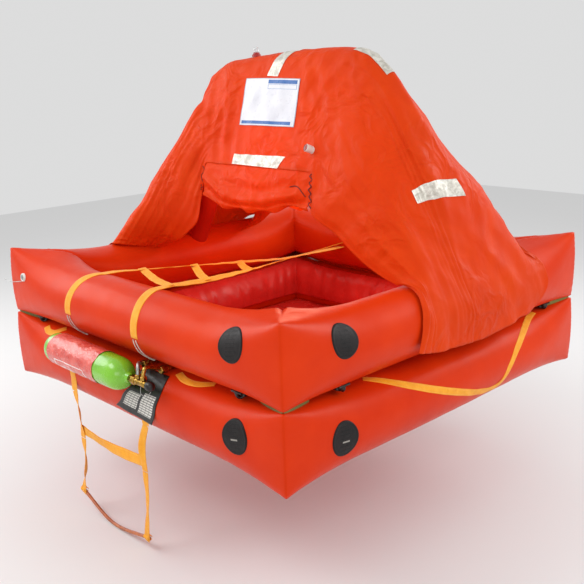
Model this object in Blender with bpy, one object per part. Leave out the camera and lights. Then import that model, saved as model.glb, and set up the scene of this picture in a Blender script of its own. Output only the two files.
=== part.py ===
"""Four-person life raft: two stacked square buoyancy tubes, a tent canopy on one arch,
a gas cylinder in its sleeve, a boarding ladder inside and one hanging outside.

The entrance side faces -Y, the side with the canopy's long skirt faces +X, and +Z is up.
The origin is the middle of the raft on its waterline. Heights below are written above the
lowest tips of the lower tube, and the empty named waterline_datum lowers them all by AFLOAT.
"""
import math

import bmesh
import bpy
from mathutils import Matrix, Vector

# Driving dimensions in metres.
TUBE_LINE = 0.7635      # middle line of each tube from the middle of the raft
TUBE_RADIUS = 0.1265    # tube at the middle of a side
CORNER_OUT = 0.1040     # outward reach of the tube at a corner, half way up its edge
CORNER_DRAW = 0.006     # how far a corner's two tips are drawn in from there
STACK_HALF = 0.1445     # half the height of one tube at its corner tips
FLARE_LENGTH = 0.34     # stretch near a corner where the tube grows taller and squarer
AFLOAT = 0.058          # waterline above the lowest corner tips, raft unloaded
SKIN_GAP = 0.0003       # clearance between pieces that touch
BOOLEAN_GAP = 0.0006    # clearance of a piece cut to the faceted tube

# Height of a tube's axis at the middle of a side and at the corners, where the tubes meet.
LOWER_LEVEL = (0.124, STACK_HALF - SKIN_GAP / 2)
UPPER_LEVEL = (0.396, 3 * STACK_HALF + SKIN_GAP / 2)
OUTER_FACE = TUBE_LINE + TUBE_RADIUS
FRONT, RIGHT, REAR, LEFT = range(4)

WEBBING = 0.042         # width of the yellow ladder straps
LIFELINE = 0.028        # width of the festooned lifelines
WEB_THICK = 0.003

CLOTH = 0.004           # canopy cloth, with its hems and folds
CLOTH_OFF = 0.0085      # least distance of the cloth's outer face from the tube's skin
RIDGE_Y = 0.04          # the arch and the ridge stand a little behind the middle

CYLINDER_RADIUS = 0.0620
SLEEVE_THICK = 0.0022
CYLINDER_Y = -0.9215
CYLINDER_Z = 0.2350
CYLINDER_LEFT = -0.438
CYLINDER_RIGHT = 0.107

LADDER_Y = -0.8878      # inner face of the outer ladder's webbing
LADDER_PIVOT_Z = 0.048
STEP_PIVOT_Z = -0.150
LADDER_LEFT = -0.362
LADDER_RIGHT = 0.143

FLAP_HINGE_Z = 0.900
FLAP_HINGE_OUT = 0.190  # hinge line of a flap from the ridge's plane
SLIT_LEFT = -0.365      # the two slits beside each flap, and the roof's edges above them
SLIT_RIGHT = 0.300


def clear_scene():
    for item in list(bpy.data.objects):
        bpy.data.objects.remove(item, do_unlink=True)


def finish(name, colour, roughness, metallic=0.0):
    """One Principled material of its own for a sub-part."""
    material = bpy.data.materials.new(name + "_finish")
    material.use_nodes = True
    shader = material.node_tree.nodes["Principled BSDF"]
    shader.inputs["Base Color"].default_value = (*colour, 1.0)
    shader.inputs["Roughness"].default_value = roughness
    shader.inputs["Metallic"].default_value = metallic
    return material


TUBE_ORANGE = (0.80, 0.09, 0.03)
CANOPY_ORANGE = (0.86, 0.10, 0.02)
LINER_RED = (0.45, 0.01, 0.01)
WEB_YELLOW = (0.95, 0.42, 0.03)
STEP_ORANGE = (0.62, 0.20, 0.03)
CORD_WHITE = (0.85, 0.83, 0.80)
SIGN_WHITE = (0.84, 0.85, 0.88)
BLACK = (0.02, 0.017, 0.017)
BRASS = (0.60, 0.42, 0.14)
GAS_GREEN = (0.22, 0.58, 0.05)
CLEAR_LENS = (0.80, 0.83, 0.85)


def datum():
    """The empty that carries the whole raft, so that the waterline is height zero."""
    empty = bpy.data.objects.new("waterline_datum", None)
    empty.location = (0.0, 0.0, -AFLOAT)
    bpy.context.collection.objects.link(empty)
    return empty


def add_object(name, mesh, colour, roughness, metallic=0.0, smooth_angle=40.0):
    mesh.materials.append(finish(name, colour, roughness, metallic))
    mesh.shade_smooth()
    mesh.set_sharp_from_angle(angle=math.radians(smooth_angle))
    obj = bpy.data.objects.new(name, mesh)
    bpy.context.collection.objects.link(obj)
    obj.parent = DATUM
    return obj


def closed_mesh(name, bm):
    """Turn all faces of a finished closed body outwards and make it a mesh."""
    bmesh.ops.recalc_face_normals(bm, faces=bm.faces)
    mesh = bpy.data.meshes.new(name)
    bm.to_mesh(mesh)
    bm.free()
    return mesh


def set_origin(obj, point):
    """Put the object's origin on a joint's axis and leave its shape in place."""
    obj.data.transform(Matrix.Translation(-Vector(point)))
    obj.location = point


# Smooth curves.

def curve_through(points, count, crowding=1.0):
    """Points on a smooth curve through the given ones, closer at its start if crowding > 1."""
    points = [Vector(p) for p in points]
    knots = [0.0]
    for first, second in zip(points, points[1:]):
        knots.append(knots[-1] + max((second - first).length, 1e-6))
    slopes = []
    for i in range(len(points)):
        before, after = max(i - 1, 0), min(i + 1, len(points) - 1)
        slopes.append((points[after] - points[before]) / (knots[after] - knots[before]))
    result = []
    for step in range(count):
        place = knots[-1] * (step / (count - 1)) ** crowding
        i = max(k for k in range(len(points) - 1) if knots[k] <= place + 1e-9)
        span = knots[i + 1] - knots[i]
        t = (place - knots[i]) / span
        result.append(points[i] * (2 * t**3 - 3 * t**2 + 1)
                      + slopes[i] * span * (t**3 - 2 * t**2 + t)
                      + points[i + 1] * (3 * t**2 - 2 * t**3)
                      + slopes[i + 1] * span * (t**3 - t**2))
    return result


# The skin of an inflated tube.

def power(value, exponent):
    return math.copysign(abs(value) ** exponent, value)


def flare(along):
    """0 along the middle of a side, growing to 1 at the mitre; along runs from -1 to 1."""
    distance = (1.0 - abs(along)) * TUBE_LINE
    return min(1.0, max(0.0, 1.0 - distance / FLARE_LENGTH)) ** 1.8


def section(turn, along):
    """Outward offset and height of the skin; turn is 0 outwards and 90 degrees on top."""
    near = flare(along)
    outer = math.cos(turn) > 0
    exponent = 1.0 - near * (0.96 if outer else 0.35)
    cosine = power(math.cos(turn), exponent)
    sine = power(math.sin(turn), exponent)
    reach = TUBE_RADIUS + (near * (CORNER_OUT - TUBE_RADIUS) if outer else 0.0)
    draw = near * CORNER_DRAW * sine**2 if outer else 0.0
    rise = (STACK_HALF - TUBE_RADIUS) * (0.35 + 0.65 * max(0.0, cosine) ** 2)
    return reach * cosine - draw, (TUBE_RADIUS + near * rise) * sine


def axis_height(level, along):
    """Height of a tube's axis, which changes near the corners."""
    return level[0] + (level[1] - level[0]) * flare(along)


def skin(side, along, turn, level, lift=0.0):
    """A point on the tube of one side, lifted off the skin."""
    out, up = section(turn, along)
    reach = TUBE_LINE + out
    point = Vector((along * reach, -reach, axis_height(level, along) + up))
    if lift:
        step = 0.01
        point += lift * skin_normal(along, turn, level, step)
    return Matrix.Rotation(side * math.pi / 2, 4, "Z") @ point


def skin_normal(along, turn, level, step):
    """Outward normal on the front side's tube, from neighbouring points."""
    def place(a, t):
        out, up = section(t, a)
        reach = TUBE_LINE + out
        return Vector((a * reach, -reach, axis_height(level, a) + up))
    across = place(along + step, turn) - place(along - step, turn)
    around = place(along, turn + step) - place(along, turn - step)
    return across.cross(around).normalized()


def skin_at(side, distance, turn, level, lift=0.0):
    """Like skin, but placed by its distance along the side from the side's middle."""
    low, high = -1.0, 1.0
    for _ in range(24):
        along = (low + high) / 2
        out, _up = section(turn, along)
        if along * (TUBE_LINE + out) < distance:
            low = along
        else:
            high = along
    return skin(side, along, turn, level, lift)


TUBE_STATIONS = (0.50, 0.68, 0.80, 0.89, 0.955)
FACET = 18.0            # degrees from one lengthwise edge of a tube to the next


def facet_turns(first, last):
    """The turns, in degrees, of the tube's lengthwise edges numbered from first to last."""
    return [FACET * (k + 0.5) for k in range(first, last + 1)]


def tube_ring(name, level, lift=0.0):
    """A closed square ring of four tubes that meet at mitres."""
    turns = round(360 / FACET)
    stations = sorted([-s for s in TUBE_STATIONS] + list(TUBE_STATIONS))
    bm = bmesh.new()
    loops = []
    for side in range(4):
        for along in [-1.0] + stations:
            loop = []
            for k in range(turns):
                turn = math.radians(FACET * (k + 0.5))
                loop.append(bm.verts.new(skin(side, along, turn, level, lift)))
            loops.append(loop)
    for first, second in zip(loops, loops[1:] + loops[:1]):
        for k in range(turns):
            n = (k + 1) % turns
            bm.faces.new((first[k], second[k], second[n]))
            bm.faces.new((first[k], second[n], first[n]))
    return closed_mesh(name, bm)


def cutter(name, level):
    """A slightly grown tube that shapes the pieces seated on it."""
    obj = bpy.data.objects.new(name, tube_ring(name, level, BOOLEAN_GAP))
    bpy.context.collection.objects.link(obj)
    obj.parent = DATUM
    obj.hide_render = True
    obj.display_type = "WIRE"
    return obj


def cut_by(obj, tool):
    change = obj.modifiers.new("seat_on_" + tool.name, "BOOLEAN")
    change.operation = "DIFFERENCE"
    change.solver = "EXACT"
    change.object = tool


# Swept and turned bodies.

def sweep(name, places, outline):
    """A closed body: the outline set square to each place (point, across, up) in turn."""
    bm = bmesh.new()
    loops = []
    for point, across, up in places:
        loops.append([bm.verts.new(point + across * a + up * b) for a, b in outline])
    count = len(outline)
    for first, second in zip(loops, loops[1:]):
        for k in range(count):
            n = (k + 1) % count
            bm.faces.new((first[k], first[n], second[n], second[k]))
    bm.faces.new(loops[0][::-1])
    bm.faces.new(loops[-1])
    return closed_mesh(name, bm)


def ring_outline(radius, count):
    return [(radius * math.cos(2 * math.pi * k / count), radius * math.sin(2 * math.pi * k / count))
            for k in range(count)]


def strip_outline(width, thickness):
    half = width / 2
    return [(-half, 0.0), (half, 0.0), (half, thickness), (-half, thickness)]


def directions(points):
    result = []
    for i in range(len(points)):
        before, after = points[max(i - 1, 0)], points[min(i + 1, len(points) - 1)]
        result.append((after - before).normalized())
    return result


def along_curve(points, across_hint):
    """Places on a curve whose width lies near the hinted direction."""
    places = []
    for point, ahead in zip(points, directions(points)):
        hint = Vector(across_hint)
        across = (hint - ahead * hint.dot(ahead)).normalized()
        places.append((point, across, ahead.cross(across).normalized()))
    return places


def round_tube(name, points, radius, sides):
    return sweep(name, along_curve(points, (0.31, 0.23, 0.92)), ring_outline(radius, sides))


def turned(name, profile, base, axis, sides):
    """A body turned about an axis; the profile holds (distance along the axis, radius)."""
    axis = Vector(axis).normalized()
    across = axis.orthogonal().normalized()
    up = axis.cross(across)
    bm = bmesh.new()
    loops = []
    for distance, radius in profile:
        centre = Vector(base) + axis * distance
        loops.append([bm.verts.new(centre + across * a + up * b)
                      for a, b in ring_outline(radius, sides)])
    for first, second in zip(loops, loops[1:]):
        for k in range(sides):
            n = (k + 1) % sides
            bm.faces.new((first[k], first[n], second[n], second[k]))
    bm.faces.new(loops[0][::-1])
    bm.faces.new(loops[-1])
    return closed_mesh(name, bm)


def merge(name, meshes):
    """Several closed bodies joined into one by Boolean unions."""
    objects = []
    for index, mesh in enumerate(meshes):
        obj = bpy.data.objects.new(name + "_piece_%d" % index, mesh)
        bpy.context.collection.objects.link(obj)
        objects.append(obj)
    base = objects[0]
    for tool in objects[1:]:
        change = base.modifiers.new("join", "BOOLEAN")
        change.operation = "UNION"
        change.solver = "EXACT"
        change.object = tool
    bpy.context.view_layer.update()
    graph = bpy.context.evaluated_depsgraph_get()
    result = bpy.data.meshes.new_from_object(base.evaluated_get(graph))
    result.name = name
    for obj in objects:
        bpy.data.objects.remove(obj, do_unlink=True)
    return result


def off_the_tube(point):
    """The point, moved outwards if it lies closer to the upper tube than cloth could."""
    side = RIGHT if abs(point.x) > abs(point.y) else FRONT
    reach = abs(point.x) if side == RIGHT else abs(point.y)
    distance = abs(point.y) if side == RIGHT else abs(point.x)
    axis = axis_height(UPPER_LEVEL, distance / reach)
    out, up = reach - TUBE_LINE, point.z - axis
    skin_out, skin_up = section(math.atan2(up, out), distance / reach)
    size = math.hypot(skin_out, skin_up) + CLOTH_OFF
    if math.hypot(out, up) >= size:
        return point
    scale = size / math.hypot(out, up)
    reach = TUBE_LINE + out * scale
    moved = point.copy()
    moved.z = axis + up * scale
    if side == RIGHT:
        moved.x = math.copysign(reach, point.x)
    else:
        moved.y = math.copysign(reach, point.y)
    return moved


def between_points(points, steps):
    """A smooth curve with the same number of steps between all the given points."""
    result = []
    for i in range(len(points) - 1):
        before = points[max(i - 1, 0)]
        after = points[min(i + 2, len(points) - 1)]
        span = (points[i + 1] - points[i]).length
        leave = (points[i + 1] - before).normalized() * span
        arrive = (after - points[i]).normalized() * span
        for step in range(steps):
            t = step / steps
            result.append(points[i] * (2 * t**3 - 3 * t**2 + 1) + leave * (t**3 - 2 * t**2 + t)
                          + points[i + 1] * (3 * t**2 - 2 * t**3) + arrive * (t**3 - t**2))
    return result + [points[-1]]


def sheet_mesh(name, lines, rows, steps, crowding=1.0):
    """A smooth open sheet; seen from its outer side the lines follow each other leftwards."""
    upright = [curve_through(line, rows, crowding) for line in lines]
    grid = []
    for row in range(rows):
        grid.append([off_the_tube(p) for p in between_points([line[row] for line in upright], steps)])
    columns = len(grid[0])
    bm = bmesh.new()
    verts = [[bm.verts.new(p) for p in line] for line in grid]
    for lower, upper in zip(verts, verts[1:]):
        for k in range(columns - 1):
            bm.faces.new((lower[k], upper[k], upper[k + 1], lower[k + 1]))
    mesh = bpy.data.meshes.new(name)
    bm.to_mesh(mesh)
    bm.free()
    return mesh


def thicken(obj, thickness, side):
    """Give a sheet its thickness; side 1 adds it outwards and -1 inwards."""
    change = obj.modifiers.new("thickness", "SOLIDIFY")
    change.thickness = thickness
    change.offset = side


# Hull.

def build_hull():
    lower = add_object("lower_tube", tube_ring("lower_tube", LOWER_LEVEL), TUBE_ORANGE, 0.35)
    upper = add_object("upper_tube", tube_ring("upper_tube", UPPER_LEVEL), TUBE_ORANGE, 0.35)
    return lower, upper


FLOOR_BOTTOM = 0.040
FLOOR_THICK = 0.022


def build_floor():
    """The insulated floor, held between the lower tube's inner faces."""
    half = TUBE_LINE - 0.06
    bm = bmesh.new()
    bmesh.ops.create_cube(bm, size=1.0)
    bmesh.ops.scale(bm, vec=(2 * half, 2 * half, FLOOR_THICK), verts=bm.verts)
    bmesh.ops.translate(bm, vec=(0, 0, FLOOR_BOTTOM + FLOOR_THICK / 2), verts=bm.verts)
    floor = add_object("raft_floor", closed_mesh("raft_floor", bm), LINER_RED, 0.3)
    cut_by(floor, LOWER_ROOM)


LINER_THICK = 0.003
LINER_EDGES = (6, 10)   # the tube's lengthwise edges on which the liner starts and ends


def build_liner():
    """The loose dark red wall lining on the lower tube's cockpit side."""
    lift = BOOLEAN_GAP
    stations = [-1.0] + sorted([-s for s in TUBE_STATIONS] + list(TUBE_STATIONS))
    turns = [math.radians(t) for t in facet_turns(*LINER_EDGES)]
    bm = bmesh.new()
    loops = []
    for side in range(4):
        for along in stations:
            inner = [skin(side, along, t, LOWER_LEVEL, lift + LINER_THICK) for t in turns]
            outer = [skin(side, along, t, LOWER_LEVEL, lift) for t in turns]
            loops.append([bm.verts.new(p) for p in outer + inner[::-1]])
    for first, second in zip(loops, loops[1:] + loops[:1]):
        for k in range(len(first)):
            n = (k + 1) % len(first)
            bm.faces.new((first[k], second[k], second[n]))
            bm.faces.new((first[k], second[n], first[n]))
    add_object("inner_liner", closed_mesh("inner_liner", bm), LINER_RED, 0.25)


# Canopy.

ARCH_RADIUS = 0.048
ARCH_CENTRES = ((-0.722, 0.460), (-0.652, 0.590), (-0.604, 0.680), (-0.586, 0.820),
                (-0.572, 0.950), (-0.548, 1.050), (-0.508, 1.124), (-0.460, 1.190),
                (-0.400, 1.238), (-0.33, 1.262), (-0.20, 1.276), (0.0, 1.284), (0.16, 1.291),
                (0.33, 1.290), (0.405, 1.270), (0.470, 1.220), (0.533, 1.143), (0.590, 1.030),
                (0.635, 0.900), (0.672, 0.720), (0.695, 0.580), (0.722, 0.460))


def build_arch():
    """The inflated arch; its feet are cut to the top of the upper tube."""
    points = curve_through([(x, RIDGE_Y, z) for x, z in ARCH_CENTRES], 26)
    arch = add_object("canopy_arch", round_tube("canopy_arch", points, ARCH_RADIUS, 12),
                      LINER_RED, 0.35)
    cut_by(arch, UPPER_ROOM)


# Each line of the canopy's sides climbs from the hem to the roof's edge. The lines follow
# each other from the front slit round the side to the rear slit.

SK = OUTER_FACE + CLOTH_OFF + 0.0005  # the skirts hang just outside the tubes' faces
EL = SLIT_LEFT - 0.0021         # the side panels' top edges, sewn close to the roof's edges
ER = SLIT_RIGHT + 0.0011

LEFT_FRONT = [
    [(-0.672, -0.200, 0.488), (-0.522, -0.200, 0.545), (-0.457, -0.198, 0.586),
     (-0.390, -0.195, 0.640), (-0.373, -0.182, 0.725), (-0.373, -0.162, 0.800),
     (EL, -0.150, 0.900)],
    [(-0.700, -0.335, 0.516), (-0.600, -0.280, 0.660), (-0.535, -0.230, 0.780),
     (-0.478, -0.172, 0.930), (-0.427, -0.112, 1.030), (EL, -0.085, 1.060)],
    [(-0.742, -0.412, 0.530), (-0.650, -0.300, 0.704), (-0.581, -0.200, 0.890),
     (-0.512, -0.100, 1.076), (-0.470, -0.045, 1.160), (-0.420, -0.040, 1.172),
     (EL, -0.050, 1.178)],
    [(-0.800, -0.390, 0.516), (-0.763, -0.335, 0.590), (-0.692, -0.225, 0.765),
     (-0.630, -0.110, 0.945), (-0.560, -0.040, 1.090), (-0.492, -0.025, 1.180),
     (-0.430, -0.025, 1.225), (EL, -0.030, 1.245)],
    [(-0.884, -0.385, 0.430), (-0.862, -0.362, 0.482), (-0.790, -0.255, 0.640),
     (-0.690, -0.110, 0.850), (-0.605, -0.030, 1.035), (-0.525, -0.017, 1.160),
     (-0.460, -0.017, 1.225), (EL, -0.020, 1.272)],
    [(-SK, -0.370, 0.330), (-SK, -0.345, 0.410), (-0.868, -0.310, 0.488),
     (-0.778, -0.170, 0.665), (-0.668, -0.050, 0.905), (-0.572, -0.008, 1.105),
     (-0.508, -0.010, 1.205), (-0.440, -0.010, 1.266), (EL, -0.010, 1.296)],
]
LEFT_MIDDLE = [[(-SK, RIDGE_Y, 0.310), (-SK, RIDGE_Y, 0.410), (-0.868, RIDGE_Y, 0.488),
                (-0.800, RIDGE_Y, 0.640), (-0.690, RIDGE_Y, 0.870), (-0.628, RIDGE_Y, 1.020),
                (-0.568, RIDGE_Y, 1.140), (-0.510, RIDGE_Y, 1.225), (-0.435, RIDGE_Y, 1.290),
                (EL, RIDGE_Y, 1.322)]]
RIGHT_LINES = [
    [(SK, -0.255, 0.330), (SK, -0.235, 0.410), (0.872, -0.207, 0.470), (0.832, -0.180, 0.512),
     (0.749, -0.168, 0.524), (0.663, -0.178, 0.554), (0.562, -0.180, 0.602),
     (0.442, -0.180, 0.682), (0.327, -0.182, 0.742), (0.306, -0.170, 0.800),
     (ER, -0.150, 0.900)],
    [(SK, -0.160, 0.308), (SK, -0.150, 0.410), (0.872, -0.140, 0.478), (0.790, -0.130, 0.590),
     (0.650, -0.160, 0.740), (0.500, -0.150, 0.900), (0.400, -0.110, 1.020),
     (ER, -0.085, 1.060)],
    [(SK, 0.000, 0.293), (SK, 0.000, 0.410), (0.874, 0.000, 0.484), (0.790, -0.020, 0.650),
     (0.700, -0.045, 0.850), (0.575, -0.045, 1.075), (0.440, -0.045, 1.180),
     (ER, -0.050, 1.198)],
    [(SK, 0.090, 0.287), (SK, 0.090, 0.410), (0.874, 0.080, 0.484), (0.795, 0.050, 0.670),
     (0.725, 0.010, 0.870), (0.650, -0.005, 1.045), (0.588, -0.010, 1.166),
     (0.518, -0.010, 1.252), (0.424, -0.010, 1.316), (ER, -0.010, 1.332)],
    [(SK, 0.190, 0.287), (SK, 0.190, 0.410), (0.874, 0.180, 0.484), (0.798, 0.150, 0.680),
     (0.738, 0.100, 0.890), (0.670, 0.050, 1.065), (0.600, RIDGE_Y, 1.183),
     (0.533, RIDGE_Y, 1.271), (0.432, RIDGE_Y, 1.344), (ER, RIDGE_Y, 1.361)],
    [(SK, 0.360, 0.308), (SK, 0.360, 0.410), (0.874, 0.350, 0.484), (0.797, 0.310, 0.680),
     (0.735, 0.240, 0.860), (0.640, 0.140, 1.050), (0.575, 0.090, 1.165),
     (0.500, 0.090, 1.255), (0.420, 0.090, 1.320), (ER, 0.090, 1.332)],
    [(SK, 0.500, 0.333), (SK, 0.490, 0.410), (0.876, 0.470, 0.482), (0.790, 0.430, 0.650),
     (0.712, 0.340, 0.810), (0.640, 0.215, 0.975), (0.577, 0.120, 1.120), (0.490, 0.105, 1.225),
     (0.410, 0.104, 1.266), (ER, 0.106, 1.280)],
    [(0.900, 0.588, 0.428), (0.878, 0.590, 0.466), (0.838, 0.575, 0.508), (0.785, 0.560, 0.548),
     (0.730, 0.545, 0.612), (0.677, 0.500, 0.690), (0.635, 0.400, 0.820), (0.593, 0.300, 0.953),
     (0.555, 0.200, 1.081), (0.490, 0.140, 1.170), (0.400, 0.126, 1.204), (ER, 0.126, 1.216)],
    [(0.832, 0.562, 0.512), (0.785, 0.550, 0.545), (0.730, 0.530, 0.605), (0.670, 0.480, 0.690),
     (0.610, 0.370, 0.830), (0.535, 0.265, 0.985), (0.455, 0.185, 1.100), (ER, 0.140, 1.165)],
    [(0.760, 0.530, 0.532), (0.700, 0.500, 0.620), (0.620, 0.390, 0.800), (0.515, 0.270, 0.980),
     (0.410, 0.185, 1.090), (ER, 0.150, 1.120)],
    [(0.700, 0.490, 0.514), (0.600, 0.430, 0.660), (0.510, 0.330, 0.830), (0.410, 0.225, 1.000),
     (ER, 0.165, 1.060)],
    [(0.660, 0.460, 0.487), (0.480, 0.360, 0.590), (0.345, 0.280, 0.700),
     (0.306, 0.245, 0.790), (ER, 0.230, 0.900)],
]
SIDE_ROWS = 16
SIDE_STEPS = 2          # columns from one line to the next
ROOF_ROWS = 17
RIDGE_LEFT = 1.322      # ridge height at the left slit, at the middle and at the right slit
RIDGE_MIDDLE = 1.350
RIDGE_RIGHT = 1.361
SLIT_GAP = 0.006        # room between a hanging flap and the canopy's sides
FLAP_SEATS = {-1: 0.0008, 1: 0.0014}    # room between a flap's upper edge and the roof's hem


def left_lines():
    rear = [[(x, 2 * RIDGE_Y - y, z) for x, y, z in line] for line in reversed(LEFT_FRONT)]
    return LEFT_FRONT + LEFT_MIDDLE + rear


def ridge_height(x):
    """Top of the cloth over the arch, a curve through the three ridge heights."""
    share = (x - SLIT_LEFT) / (SLIT_RIGHT - SLIT_LEFT)
    bulge = RIDGE_MIDDLE - (RIDGE_LEFT + RIDGE_RIGHT) / 2
    return RIDGE_LEFT + (RIDGE_RIGHT - RIDGE_LEFT) * share + bulge * (1 - (2 * share - 1) ** 2)


def roof_profile(x):
    """Distances out from the ridge's plane with the roof's heights there."""
    top = ridge_height(x)
    return [(0.0, top), (0.031, top - 0.008), (0.059, top - 0.040), (0.125, 1.060),
            (FLAP_HINGE_OUT, FLAP_HINGE_Z)]


def roof_lines():
    """Lines over the roof from the rear flap's hinge to the front one, left to right."""
    lines = []
    for x in (SLIT_LEFT, -0.20, -0.03, 0.14, SLIT_RIGHT):
        front = [(x, RIDGE_Y - out, z) for out, z in roof_profile(x)]
        rear = [(x, RIDGE_Y + out, z) for out, z in reversed(roof_profile(x)[1:])]
        lines.append(rear + front)
    return lines


FLAP_HEMS = {
    -1: (0.757, 0.722, 0.714, 0.722, 0.748, 0.760),
    1: (0.640, 0.650, 0.680, 0.710, 0.730, 0.740),
}


def flap_lines(facing):
    """A flap's lines, left to right, from its hem up to its hinge; facing is -1 at the front."""
    hinge = RIDGE_Y + facing * FLAP_HINGE_OUT
    left, right = SLIT_LEFT + SLIT_GAP, SLIT_RIGHT - SLIT_GAP
    hems = FLAP_HEMS[facing]
    lines = []
    for k, low in enumerate(hems):
        share = k / (len(hems) - 1)
        x = left + (right - left) * share
        belly = 0.030 * (1.0 - (2 * share - 1) ** 2)
        lines.append([(x, hinge + facing * (0.022 + belly * 0.5), low),
                      (x, hinge + facing * (0.016 + belly), 0.5 * (low + FLAP_HINGE_Z) + 0.01),
                      (x, hinge, FLAP_HINGE_Z - FLAP_SEATS[facing])])
    return lines if facing > 0 else lines[::-1]


def build_canopy():
    def sheet(name, lines, rows, steps, crowding=1.0):
        mesh = sheet_mesh(name, lines, rows, steps, crowding)
        obj = add_object(name, mesh, CANOPY_ORANGE, 0.6)
        thicken(obj, CLOTH, -1)
        return obj
    sheet("canopy_roof", roof_lines(), ROOF_ROWS, 1)
    left = sheet("canopy_left_side", left_lines(), SIDE_ROWS, SIDE_STEPS, 1.35)
    right = sheet("canopy_right_side", RIGHT_LINES[::-1], SIDE_ROWS, SIDE_STEPS, 1.35)
    cut_by(left, UPPER_ROOM)
    cut_by(right, UPPER_ROOM)
    for name, facing in (("entrance_flap", -1), ("rear_flap", 1)):
        flap = sheet(name, flap_lines(facing), 6, 2)
        set_origin(flap, (0.0, RIDGE_Y + facing * FLAP_HINGE_OUT, FLAP_HINGE_Z))


SIGN_LEFT = -0.205
SIGN_RIGHT = 0.122
SIGN_TOP_OUT = 0.078    # the sign's upper and lower edges, out from the ridge's plane
SIGN_FOOT_OUT = 0.128
SIGN_THICK = 0.0015


def roof_point(x, out):
    """A point on the roof's front face and the outward normal there."""
    profile = curve_through([(x, o, z) for o, z in roof_profile(x)], 201)
    k = min(range(1, 200), key=lambda i: abs(profile[i].y - out))
    ahead = profile[k + 1] - profile[k - 1]
    normal = Vector((0.0, ahead.z, -ahead.y)).normalized()
    return Vector((x, RIDGE_Y - profile[k].y, profile[k].z)), -Vector((0, -normal.y, normal.z))


def build_sign():
    """The blank sign on the roof's front face."""
    bm = bmesh.new()
    rows, columns = 5, 5
    grid = []
    for r in range(rows):
        out = SIGN_FOOT_OUT + (SIGN_TOP_OUT - SIGN_FOOT_OUT) * r / (rows - 1)
        line = []
        for c in range(columns):
            x = SIGN_LEFT + (SIGN_RIGHT - SIGN_LEFT) * c / (columns - 1)
            point, normal = roof_point(x, out)
            normal = Vector((0, -abs(normal.y), abs(normal.z)))
            line.append(bm.verts.new(point + normal * 0.0012))
        grid.append(line)
    for lower, upper in zip(grid, grid[1:]):
        for c in range(columns - 1):
            bm.faces.new((lower[c], lower[c + 1], upper[c + 1], upper[c]))
    mesh = bpy.data.meshes.new("canopy_sign")
    bm.to_mesh(mesh)
    bm.free()
    thicken(add_object("canopy_sign", mesh, SIGN_WHITE, 0.4), SIGN_THICK, 1)


LIGHT_X = -0.210
COLLECTOR_X = 0.280
COLLECTOR_OUT = 0.160


def build_roof_fittings():
    """The sea light on the ridge and the rain collector's spout on the front face."""
    base = [(0.002, 0.020), (0.010, 0.019), (0.014, 0.014), (0.020, 0.013)]
    dome = [(0.0203, 0.012), (0.034, 0.012), (0.040, 0.009), (0.043, 0.004)]
    place = (LIGHT_X, RIDGE_Y, ridge_height(LIGHT_X))
    add_object("light_base", turned("light_base", base, place, (0, 0, 1), 16), LINER_RED, 0.5)
    add_object("light_dome", turned("light_dome", dome, place, (0, 0, 1), 16), CLEAR_LENS, 0.1)
    point, normal = roof_point(COLLECTOR_X, COLLECTOR_OUT)
    out = Vector((-0.25, -abs(normal.y), abs(normal.z)))
    spout = [(0.0045, 0.0135), (0.006, 0.0150), (0.040, 0.0150), (0.042, 0.0135)]
    add_object("rain_collector", turned("rain_collector", spout, point, out, 16), CORD_WHITE, 0.4)


# Gas cylinder, its sleeve, valve and pipes.

NECK = 0.0183           # length of the cylinder's neck, with the clearance to the valve


def build_gas_set():
    length = CYLINDER_RIGHT - CYLINDER_LEFT
    r = CYLINDER_RADIUS
    profile = [(0.0, r * 0.42), (0.010, r * 0.72), (0.030, r * 0.93), (0.060, r),
               (length - 0.075, r), (length - 0.045, r * 0.94), (length - 0.020, r * 0.74),
               (length - 0.005, r * 0.44), (length, 0.019), (length + NECK - SKIN_GAP, 0.018)]
    base = Vector((CYLINDER_LEFT, CYLINDER_Y, CYLINDER_Z))
    add_object("gas_cylinder", turned("gas_cylinder", profile, base, (1, 0, 0), 24),
               GAS_GREEN, 0.3)
    sleeve = ring_body("cylinder_sleeve", r + SKIN_GAP, r + SLEEVE_THICK, CYLINDER_LEFT + 0.065,
                       CYLINDER_LEFT + 0.400, 24)
    add_object("cylinder_sleeve", sleeve, (0.62, 0.06, 0.04), 0.35)
    start = CYLINDER_RIGHT + NECK
    axis = Vector((1, 0, 0))
    nut = turned("nut", [(0.0, 0.0175), (0.034, 0.0175)], (start, CYLINDER_Y, CYLINDER_Z), axis, 6)
    block = turned("block", [(0.032, 0.013), (0.100, 0.013)], (start, CYLINDER_Y, CYLINDER_Z),
                   axis, 12)
    add_object("valve_body", merge("valve_body", [nut, block]), BRASS, 0.3, 1.0)
    knob = [(0.1003, 0.007), (0.106, 0.0165), (0.124, 0.0175), (0.134, 0.011), (0.137, 0.005)]
    add_object("valve_knob", turned("valve_knob", knob, (start, CYLINDER_Y, CYLINDER_Z), axis, 16),
               BLACK, 0.35)
    build_pipe("upper_gas_pipe", start + 0.050, UPPER_INLET)
    build_pipe("lower_gas_pipe", start + 0.082, LOWER_INLET)


def ring_body(name, inner, outer, left, right, sides):
    """A hollow round sleeve round the gas cylinder."""
    axis = Vector((1, 0, 0))
    across = axis.orthogonal().normalized()
    up = axis.cross(across)
    bm = bmesh.new()
    loops = []
    for x, radius in ((left, inner), (left, outer), (right, outer), (right, inner)):
        centre = Vector((x, CYLINDER_Y, CYLINDER_Z))
        loops.append([bm.verts.new(centre + across * a + up * b)
                      for a, b in ring_outline(radius, sides)])
    for first, second in zip(loops, loops[1:] + loops[:1]):
        for k in range(sides):
            n = (k + 1) % sides
            bm.faces.new((first[k], first[n], second[n], second[k]))
    return closed_mesh(name, bm)


UPPER_INLET = (0.098, -0.810, 0.262)
LOWER_INLET = (0.192, -0.800, 0.260)
PIPE_RADIUS = 0.0075


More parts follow.
